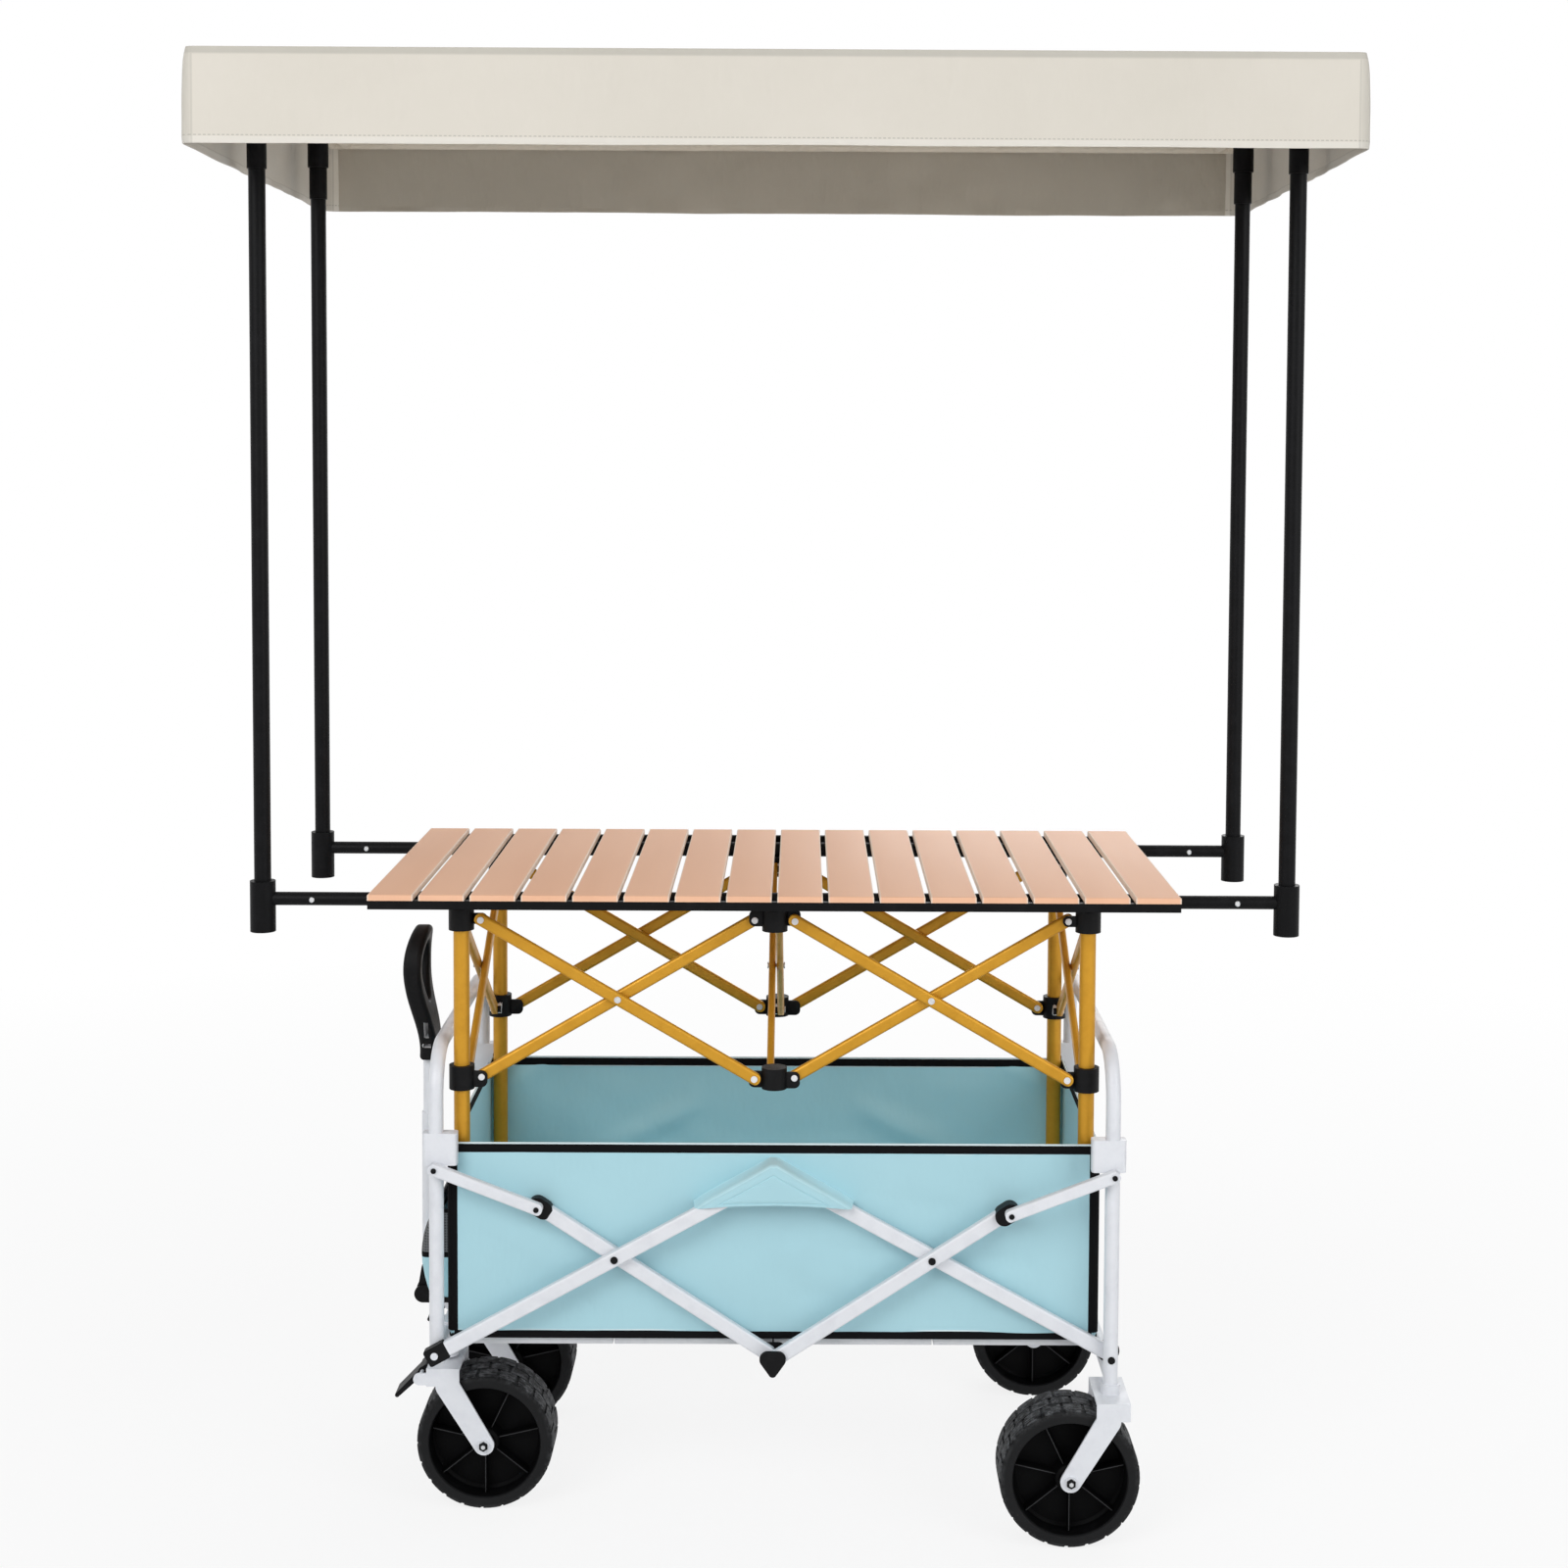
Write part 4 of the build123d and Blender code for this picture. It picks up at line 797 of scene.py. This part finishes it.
def make_basket():
    """The basket: a fabric shell that hangs slack, bound with black tape, and its tube pockets."""
    inside, cuts_x, cuts_y, steps, cloth_thick = 0.001, 72, 36, 24, 0.0022
    side_ease, end_ease, floor_ease, floor_wave = 0.09, 0.05, 0.03, 0.0010
    basket = new_grid(
        "basket_shell", BASKET_X - inside, BASKET_Y - inside, BASKET_FLOOR + inside, cuts_x, cuts_y
    )
    wall = BASKET_RIM - BASKET_FLOOR - 0.004
    extrude_rows(basket, [wall / steps] * steps)

    def hang(co):
        along = abs(co.y) > BASKET_Y - AT_EDGE
        across = abs(co.x) > BASKET_X - AT_EDGE
        from_end, from_side = BASKET_X - abs(co.x), BASKET_Y - abs(co.y)
        sag = wall_sag(co.x, co.y, co.z)
        if along and not across:
            ease = min(1.0, from_end / side_ease)
            press = tube_press(co.x, co.z) if co.y > 0 else 0.0
            co.y += math.copysign(1.0, co.y) * (sag * ease - press)
        elif across and not along:
            # The left end, where the bag hangs, only sags inward
            if co.x < 0:
                sag = min(0.0, sag)
            co.x += math.copysign(1.0, co.x) * sag * min(1.0, from_side / end_ease)
        elif not along and not across:
            ease = min(1.0, from_end / floor_ease, from_side / floor_ease)
            co.z += ease * floor_wave * ripple(co.x * 9.0, co.y * 9.0, 2.0)
        return co

    shape(basket, hang)
    # The inside faces take the lighter aqua copy: painted light inside the basket
    paint(basket, AQUA_INSIDE_PAINTED_LIGHT, AQUA)
    modify(
        basket, "SOLIDIFY", thickness=cloth_thick, offset=-1, material_offset=1, material_offset_rim=1,
        use_quality_normals=True,
    )
    modify(basket, "SUBSURF", levels=1, render_levels=1)
    lay_map(basket)
    smooth(basket, 50)

    rim, floor = BASKET_RIM, BASKET_FLOOR
    bindings = [
        ring_band("rim_binding", 0.002, 0.014, rim - 0.0125, rim, 0.0062, 0.0014),
        ring_band("floor_binding", 0.0012, 0.014, floor - 0.0002, floor + 0.012, 0.0034, 0.0009),
    ]
    pipings_and_highlight = [
        ring_band("rim_piping", 0.0012, 0.014, rim - 0.0152, rim - 0.0122, 0.003, 0.0012),
        ring_band("floor_piping", 0.0012, 0.014, floor + 0.0117, floor + 0.0144, 0.003, 0.0011),
        # A pale band on top of the rim binding: a painted highlight where its top catches the light
        ring_band("rim_top_highlight", 0.0004, 0.0124, rim - 0.001, rim + 0.0026, 0.003, 0.0011),
    ]
    trims = bindings + pipings_and_highlight + make_corner_tapes()
    for trim in trims:
        lay_map(trim)
        smooth(trim, 40)
        if trim in pipings_and_highlight:
            place_piece(trim, "wagon_centre", "aqua_fabric", PIPING_AND_HIGHLIGHT)
        else:
            place_piece(trim, "wagon_centre", "black_plastic", TAPE)
        fold_with_cart(trim)
    pockets = make_tube_pockets()
    place_piece(basket, "wagon_centre", "aqua_fabric", nodes_replaced=("basket",))
    fold_with_cart(basket)
    trims + pockets


def make_corner_tapes():
    """A strip of tape up each corner seam, wrapped from the long side to the end."""
    width, lift, corner, thick, edge = 0.0075, 0.0012, 0.006, 0.0016, 0.0005
    low, high, steps = BASKET_FLOOR + 0.011, BASKET_RIM - 0.0115, 5
    deselect()
    bpy.ops.mesh.primitive_plane_add(
        size=1, location=(BASKET_X - corner - width / 2, -BASKET_Y - lift, (low + high) / 2),
        rotation=(math.pi / 2, 0, 0),
    )
    first = started("corner_tape_front_right", (width, high - low, 1))
    pick_edges(first, lambda a, b: min(a.x, b.x) > BASKET_X - corner - 0.001)
    turn = corner + lift
    last = (0.0, 0.0)
    for step in range(1, steps + 1):
        angle = math.pi / 2 * step / steps
        spot = (turn * math.sin(angle), turn * (1 - math.cos(angle)))
        move = (spot[0] - last[0], spot[1] - last[1], 0)
        bpy.ops.mesh.extrude_edges_move(TRANSFORM_OT_translate={"value": move})
        last = spot
    bpy.ops.mesh.extrude_edges_move(TRANSFORM_OT_translate={"value": (0, width, 0)})
    bpy.ops.mesh.select_all(action="SELECT")
    bpy.ops.mesh.normals_make_consistent(inside=False)
    leave_edit()
    modify(first, "SOLIDIFY", thickness=thick, offset=0)
    modify(first, "BEVEL", width=edge, segments=1)
    places = (("front_left", -1, 1), ("back_right", 1, -1), ("back_left", -1, -1))
    return [first] + [mirrored(first, f"corner_tape_{name}", x, y) for name, x, y in places]


def make_tube_pockets():
    """The two triangular pockets over the upper ends of the scissor tubes, open below."""
    mouth, low, high, face = POCKET_MOUTH - 0.007, POCKET_LOW, POCKET_HIGH, POCKET_FACE + 0.0012
    sunk, round_edge, thick, flank = 0.0005, 0.010, 0.0014, 0.0025
    mouth_rise, back_rise, back_spread, crumple = 0.006, 0.002, 0.03, 0.0014
    pocket = new_block("tube_pocket_front", (-mouth, -face, low), (mouth, -BASKET_Y + sunk, high))
    pick_faces(pocket, lambda middle, normal: normal.z > FACING)
    bpy.ops.transform.resize(value=(POCKET_PEAK / mouth, 1, 1))
    pick_faces(pocket, lambda middle, normal: normal.z < -FACING or normal.y > FACING)
    bpy.ops.mesh.delete(type="FACE")
    leave_edit()
    pick_edges(pocket, lambda a, b: max(a.y, b.y) < TINY - face and max(a.z, b.z) > low + 0.001)
    bevel(round_edge, 4)
    pick_faces(pocket, lambda middle, normal: normal.y < -0.99)
    inset((0.0035, 0.0), (0.0012, -0.0009), (0.0012, 0.0009))
    pick_all(pocket)
    bpy.ops.mesh.subdivide(number_cuts=7)
    leave_edit()

    def drape(co):
        drop = (high - co.z) / (high - low)
        behind = max(0.0, (co.y + face) / (face - BASKET_Y))
        co.z += mouth_rise * drop ** 3 * (1 - (co.x / mouth) ** 2)
        co.z += back_rise * behind ** 2 * max(0.0, 1 - drop) ** 0.5
        co.x *= 1 + back_spread * behind ** 2
        co.y -= crumple * abs(ripple(co.x * 24.0, 0.0, co.z * 20.0)) * (1 - behind)
        return co

    shape(pocket, drape)
    modify(pocket, "SOLIDIFY", thickness=thick, offset=-1)
    back = mirrored(pocket, "tube_pocket_back", -1, -1)
    for piece in (pocket, back):
        lay_map(piece)
        smooth(piece, 60)
        place_piece(piece, "wagon_centre", "aqua_fabric", AQUA, POCKET_FLANK_PAINTED_LIGHT)
        # Faces set back from the pocket's front take the paler copy: painted light on the flanks
        for part in piece.data.polygons:
            part.material_index = int(abs(part.center.y) < face - flank)
        fold_with_cart(piece)
    return [pocket, back]


def make_base_panels():
    """The base board as four panels with soft edges and a sunk field on both faces."""
    margin, gap, count = 0.008, 0.0016, 4
    half_x, half_y = BASKET_X - margin, BASKET_Y - margin
    wide = half_x / 2
    panel = new_block(
        "base_panels", (-half_x, -half_y, BOARD_TOP - BOARD_DEEP), (-half_x + wide - gap, half_y, BOARD_TOP)
    )
    pick_faces(panel, lambda middle, normal: abs(normal.z) > FACING)
    inset((0.012, 0.0), (0.002, -0.0008))
    soften(panel, 0.0012, 2, 60)
    panels = [panel]
    for i in range(1, count):
        double = copy_of(panel, f"base_panel_{i}")
        shape(double, lambda co: Vector((co.x + i * (wide + gap / 3), co.y, co.z)))
        panels.append(double)
    board = join("base_panels", *panels)
    smooth(board, 35)
    place_piece(board, "wagon_centre", "board", GREY_BOARD, nodes_replaced=("base_board",))
    fold_with_cart(board)


def make_end_pocket():
    """The outside bag of the left end: aqua cloth below, net above a black band, and a black rim."""
    low, high, half, height = BAG_LOW, BAG_HIGH, BAG_HALF, BAG_HIGH - BAG_LOW
    band_low, band_high, rim_low, columns = 0.46, 0.52, 0.96, 26
    belly_up, foot_share, top_loss, side_run = 0.45, 0.72, 0.48, 0.03
    crumple, clear, thick = 0.0022, 0.0008, 0.0018
    bag = new_block("end_bag", (-BAG_BACK - BAG_DEPTH, -half, low), (-BAG_BACK, half, high))
    pick_faces(bag, lambda middle, normal: normal.z > FACING)
    bpy.ops.mesh.delete(type="FACE")
    leave_edit()
    for share in (0.06, 0.14, 0.24, 0.36, band_low, band_high, 0.58, 0.68, 0.78, 0.88, rim_low):
        cut(bag, (0, 0, low + share * height), (0, 0, 1))
    for i in range(1, columns):
        cut(bag, (0, -half + 2 * half * i / columns, 0), (0, 1, 0))

    def fill(co):
        up = (co.z - low) / height
        if up < belly_up:
            belly = foot_share + (1 - foot_share) * math.sin(math.pi * up / (2 * belly_up))
        else:
            belly = 1 - top_loss * ((up - belly_up) / (1 - belly_up)) ** 2.4
        side = min(1.0, (half - abs(co.y)) / side_run) ** 0.5
        out = (-BAG_BACK - co.x) / BAG_DEPTH
        wave = crumple * ripple(co.y * 14.0, co.z * 14.0, 3.0)
        co.x = -BAG_BACK - out * (BAG_DEPTH * belly * (0.9 + 0.1 * side) - abs(wave) - clear)
        return co

    shape(bag, fill)
    soften(bag, 0.006, 3, 55)
    modify(bag, "SOLIDIFY", thickness=thick, offset=-1)
    lay_map(bag)
    smooth(bag, 50)
    place_piece(bag, "end_left", "aqua_fabric", AQUA, NET, TAPE, nodes_replaced=("end_pocket",))
    for face in bag.data.polygons:
        share = (face.center.z - low) / height
        if band_low < share < band_high or share > rim_low:
            face.material_index = 2
        else:
            face.material_index = int(share > band_high)


def from_axle(point):
    """How far a point of a wheel, before it is placed, lies from its axle."""
    return math.hypot(point.x, point.z)


def make_tyre():
    """A wheel's body with a blocked tread, a flat side wall, a sunk web and a stepped hub."""
    segments, groove, tread_deep = 84, 0.0017, 0.0045
    shoulder, rim_width, hub_radius, web_from = 0.0095, 0.0255, 0.023, 0.0192
    band_half, slit = 0.0115, 0.0135
    wheel = new_cylinder("wheel_right_front_tyre", segments, WHEEL_R, 2 * WHEEL_HALF)
    pick_faces(wheel, lambda middle, normal: abs(normal.y) > FACING and from_axle(middle) < 0.01)
    inset(
        (0.010, 0.0), (0.008, 0.0), (0.0015, -0.003), (0.002, -0.026), (0.004, -0.004),
        (WHEEL_R - rim_width - hub_radius, 0.0), (0.002, 0.027), (0.004, 0.004), (0.006, -0.002),
    )

    def outer_rim(a, b):
        near_tread = min(from_axle(a), from_axle(b)) > WHEEL_R - 0.001
        return near_tread and min(abs(a.y), abs(b.y)) > WHEEL_HALF - 0.001

    pick_edges(wheel, outer_rim)
    bpy.ops.mesh.bevel(offset=shoulder, segments=4, profile=0.55)
    leave_edit()
    for spot in (-slit, -band_half, band_half, slit):
        cut(wheel, (0, spot, 0), (0, 1, 0))

    def grooves(middle, normal):
        if from_axle(middle) < WHEEL_R - tread_deep:
            return False
        turn = int(math.floor(math.atan2(middle.z, middle.x) / (2 * math.pi) * segments + 0.001))
        if abs(middle.y) < band_half:
            return turn % 4 == 0
        return abs(middle.y) < slit or turn % 4 == (2 if middle.y < 0 else 3)

    pick_faces(wheel, grooves)
    bpy.ops.mesh.extrude_region_move()
    leave_edit()
    for point in wheel.data.vertices:
        if point.select:
            share = 1 - groove / from_axle(point.co)
            point.co = Vector((point.co.x * share, point.co.y, point.co.z * share))
    paint(wheel, RUBBER, WEB)
    for face in wheel.data.polygons:
        face.material_index = int(from_axle(face.center) < WHEEL_R - web_from)
    return wheel


def make_wheels():
    """Four wheels: a tyre with its web and hub, and seven ribs on each side of the web."""
    count, first_turn, half, edge = 7, 0.25, 0.0016, 0.0011
    near_hub, near_rim, deep, sink = 0.020, 0.083, 0.010, 0.013
    wheel = make_tyre()
    rib = new_block("rib", (near_hub, deep, -half), (near_rim, WHEEL_HALF - sink, half))
    pick_faces(rib, lambda middle, normal: normal.y > FACING)
    bevel(edge, 2)
    paint(rib, RUBBER, WEB, RIB_TOP_HIGHLIGHT)
    # Rib tops take the lighter copy: a painted highlight on the web's own plastic
    for face in rib.data.polygons:
        face.material_index = 2 if face.normal.y > 0.99 else 1
    ribs = []
    for side in (-1, 1):
        for i in range(count):
            turn = 2 * math.pi * (i + first_turn) / count
            double = copy_of(rib, f"rib_{side}_{i}")
            shape(double, lambda co: Vector((
                co.x * math.cos(turn) - side * co.z * math.sin(turn), side * co.y,
                co.x * math.sin(turn) + side * co.z * math.cos(turn))))
            ribs.append(double)
    bpy.data.objects.remove(rib)
    wheel = join("wheel_right_front_tyre", wheel, *ribs)
    smooth(wheel, 30)
    for name, x, y in (
        ("left_front", -AXLE_X, -CASTER_Y), ("left_back", -AXLE_X, CASTER_Y),
        ("right_back", AXLE_X, FIXED_Y), ("right_front", AXLE_X, -FIXED_Y),
    ):
        piece = wheel if name == "right_front" else copy_of(wheel, f"wheel_{name}_tyre")
        shape(piece, lambda co: co + Vector((x, y, AXLE_Z)))
        place_piece(piece, f"wheel_{name}", "tyre", nodes_replaced=(f"wheel_{name}",))


def make_axle_nuts():
    """A dark hexagon nut with a bright bolt end, on both sides of each fork."""
    radius, deep, edge, bright_from = 0.0072, 0.004, 0.0008, 0.0021
    nut = new_cylinder("axle_nut", 6, radius, deep, turn=-1)
    pick_faces(nut, lambda middle, normal: normal.y > FACING)
    bevel(edge, 2)
    pick_faces(nut, lambda middle, normal: normal.y > 0.99)
    inset((0.0022, 0.0), (0.0004, 0.0012), (0.0012, 0.0006))
    paint(nut, BLACK, STEEL)
    for face in nut.data.polygons:
        face.material_index = int(face.center.y > bright_from)
    seat = FORK_HALF + BOLT_RISE + deep / 2
    for body, x, rows in (
        ("caster_front", -AXLE_X, (-CASTER_Y,)), ("caster_back", -AXLE_X, (CASTER_Y,)),
        ("end_right", AXLE_X, (-FIXED_Y, FIXED_Y)),
    ):
        nuts = []
        for row in rows:
            for side in (-1, 1):
                double = copy_of(nut, f"nut_{body}_{row}_{side}")
                shape(double, lambda co: Vector((
                    x + side * co.x, row + side * (seat + co.y), AXLE_Z + co.z)))
                nuts.append(double)
        pair = join(f"axle_nuts_{body}", *nuts)
        smooth(pair, 30)
        place_piece(pair, body, "steel")
    bpy.data.objects.remove(nut)


def make_lug_rivets():
    """White rivet heads on the outer faces of the lugs whose struts lie on the inner side."""
    radius, deep, edge = 0.005, 0.0018, 0.0012
    head = new_cylinder("lug_rivet", 20, radius, deep)
    pick_edges(head, lambda a, b: max(a.y, b.y) < TINY - deep / 2)
    bevel(edge, 3)
    seat = ROW_Y + LUG_RISE + deep / 2
    far = HUB_X - LUG
    for body, opposite, x, z in (
        ("hub_upper_front", "hub_upper_back", -LUG, UPPER_Z),
        ("hub_lower_front", "hub_lower_back", LUG, LOWER_Z),
        ("slider_front_left", "slider_back_right", -far, LOWER_Z),
        ("table_leg_front_right", "table_leg_back_left", far, UPPER_Z),
    ):
        for owner, turn in ((body, 1), (opposite, -1)):
            rivet = copy_of(head, f"lug_rivet_{owner}")
            shape(rivet, lambda co: Vector((turn * (co.x + x), turn * (co.y - seat), co.z + z)))
            smooth(rivet, 50)
            place_piece(rivet, owner, "steel", WHITE_CAP)
    bpy.data.objects.remove(head)


def make_hub_cheeks():
    """Moulded plates beside the lugs of the middle hubs and the sliders."""
    near_hub, reach, round_end = 0.012, LUG + 0.0085, 0.0085
    low, high, inner, outer = -0.0155, 0.009, -0.0056, 0.0004
    plate = new_block("hub_cheek", (near_hub, inner, low), (reach, outer, high))
    pick_edges(plate, lambda a, b: min(a.x, b.x) > reach - TINY and abs(a.z - b.z) < TINY)
    bevel(round_end, 5)
    soften(plate, 0.0007, 2, 50)
    for side, row in ((-1, "front"), (1, "back")):
        for body, x, z, up, ways in (
            (f"hub_upper_{row}", 0.0, UPPER_Z, -1, ((-1, side), (1, -side))),
            (f"hub_lower_{row}", 0.0, LOWER_Z, 1, ((-1, -side), (1, side))),
            (f"slider_{row}_left", -HUB_X, LOWER_Z, 1, ((1, side),)),
            (f"slider_{row}_right", HUB_X, LOWER_Z, 1, ((-1, -side),)),
        ):
            plates = []
            for way, layer in ways:
                double = copy_of(plate, f"cheek_{body}_{way}")
                shape(double, lambda co: Vector((
                    x + way * co.x, side * (ROW_Y + layer * co.y), z + up * co.z)))
                if way * side * layer * up < 0:
                    flip(double)
                plates.append(double)
            cheeks = join(f"cheeks_{body}", *plates)
            smooth(cheeks, 40)
            place_piece(cheeks, body, "black_plastic", BLACK)
    bpy.data.objects.remove(plate)


def make_rim_knobs():
    """A small black knob on the rim at each corner of the basket."""
    x, y, z = BASKET_X - 0.0065, 0.0035 - BASKET_Y, BASKET_RIM
    half_x, half_y, below, above, taper = 0.005, 0.0045, 0.005, 0.009, 0.8
    knob = new_block("rim_knobs", (x - half_x, y - half_y, z - below), (x + half_x, y + half_y, z + above))
    pick_faces(knob, lambda middle, normal: normal.z > FACING)
    bpy.ops.transform.resize(value=(taper, taper, 1))
    leave_edit()
    modify(knob, "BEVEL", width=0.0028, segments=3)
    places = ((-1, 1), (1, -1), (-1, -1))
    knobs = [knob] + [mirrored(knob, f"rim_knob_{x}_{y}", x, y) for x, y in places]
    group = join("rim_knobs", *knobs)
    smooth(group, 50)
    place_piece(group, "wagon_centre", "black_plastic", BLACK)
    fold_with_cart(group)


def make_slats():
    """The slatted top: one channel slat, open below, with rolled edges, copied across."""
    half, half_y = (SLAT_PITCH - SLAT_GAP) / 2, SLAT_LENGTH / 2
    middle_x, edge = SLAT_PITCH / 2, 0.0018
    slat = new_block(
        "table_slats", (middle_x - half, -half_y, SLAT_TOP - SLAT_DEEP), (middle_x + half, half_y, SLAT_TOP)
    )
    pick_faces(slat, lambda middle, normal: normal.z < -FACING)
    inset((0.0016, 0.0), (0.0004, -0.0072))

    def top_edge(a, b):
        along = all(abs(abs(point.x - middle_x) - half) < TINY for point in (a, b))
        across = min(abs(a.y), abs(b.y)) > half_y - TINY
        return min(a.z, b.z) > SLAT_TOP - TINY and (along or across)

    pick_edges(slat, top_edge)
    bevel(edge, 3)
    slats = [slat]
    for i in range(-SLAT_COUNT // 2, SLAT_COUNT // 2):
        if i:
            double = copy_of(slat, f"slat_{i}")
            shape(double, lambda co: Vector((co.x + i * SLAT_PITCH, co.y, co.z)))
            slats.append(double)
    top = join("table_slats", *slats)
    smooth(top, 30)
    place_piece(top, "counter", "slat", SLAT, nodes_replaced=("slats",))


def make_floor():
    """A pale floor that glows white towards its far edge, where the camera sees it."""
    deselect()
    bpy.ops.mesh.primitive_plane_add(size=60)
    floor = started("floor")
    paper = Look("pale_floor", Base_Color=(0.86, 0.86, 0.86, 1), Roughness=0.9)
    glow = paper.node("ShaderNodeEmission", {}, {"Strength": 1.0})
    far = paper.node("ShaderNodeVectorMath", {"operation": "LENGTH"}, {0: paper.place()}, out="Value")
    share = paper.seen() * far.ramp(1.2, 4.0, 0.84, 1.0)
    blend = paper.node("ShaderNodeMixShader", {}, {0: share, 1: paper.surface, 2: glow})
    paper.join(paper.output, blend)
    paint(floor, paper.material)


def make_sky():
    """A white background for the camera, and a dimmer, cooler one that lights the cart."""
    world = bpy.data.worlds.new("studio")
    bpy.context.scene.world = world
    sky = Nodes(world, "ShaderNodeOutputWorld")
    light, white = [
        sky.node("ShaderNodeBackground", {}, {"Color": colour, "Strength": strength})
        for colour, strength in (((0.95, 0.97, 1.0, 1), 0.34), ((1, 1, 1, 1), 1.0))
    ]
    both = sky.node("ShaderNodeMixShader", {}, {0: sky.seen(), 1: light, 2: white})
    sky.join(sky.output, both)


def add_to_scene(name, data, spot):
    """Put a light or a camera at a spot."""
    made = bpy.data.objects.new(name, data)
    bpy.context.scene.collection.objects.link(made)
    made.location = spot
    return made


def make_studio():
    """The floor, soft light and the camera at the photograph's angle."""
    make_floor()
    make_sky()
    for name, spot, power, aim_z in (
        ("key", (-2.6, -4.2, 3.6), 138.0, 1.0), ("fill", (3.4, -3.4, 2.4), 80.0, 0.9),
        ("top", (0.3, 0.6, 4.6), 40.0, 1.0), ("back", (1.5, 4.0, 2.6), 50.0, 1.0),
    ):
        data = bpy.data.lights.new(name, "AREA")
        data.size = 3.0
        data.energy = power
        light = add_to_scene(name, data, spot)
        aim = Vector((0.0, 0.0, aim_z)) - Vector(spot)
        light.rotation_euler = aim.to_track_quat("-Z", "Y").to_euler()

    # Lens, shift, place and turn come from fitting the photograph's corners
    tilt_down, roll, yaw = 3.43, -0.0049, -0.0029
    data = bpy.data.cameras.new("camera")
    data.sensor_width = 36.0
    data.lens = 56.16
    data.shift_x = -0.0162
    data.shift_y = -0.1257
    camera = add_to_scene("camera", data, (0.0375, -3.851, 1.632))
    camera.rotation_euler = (math.radians(90 - tilt_down), roll, yaw)
    bpy.context.scene.camera = camera
    bpy.context.scene.view_settings.view_transform = "Standard"


dress_frame()
make_canopy()
make_basket()
make_base_panels()
make_end_pocket()
make_wheels()
make_axle_nuts()
make_lug_rivets()
make_hub_cheeks()
make_rim_knobs()
make_slats()
make_studio()
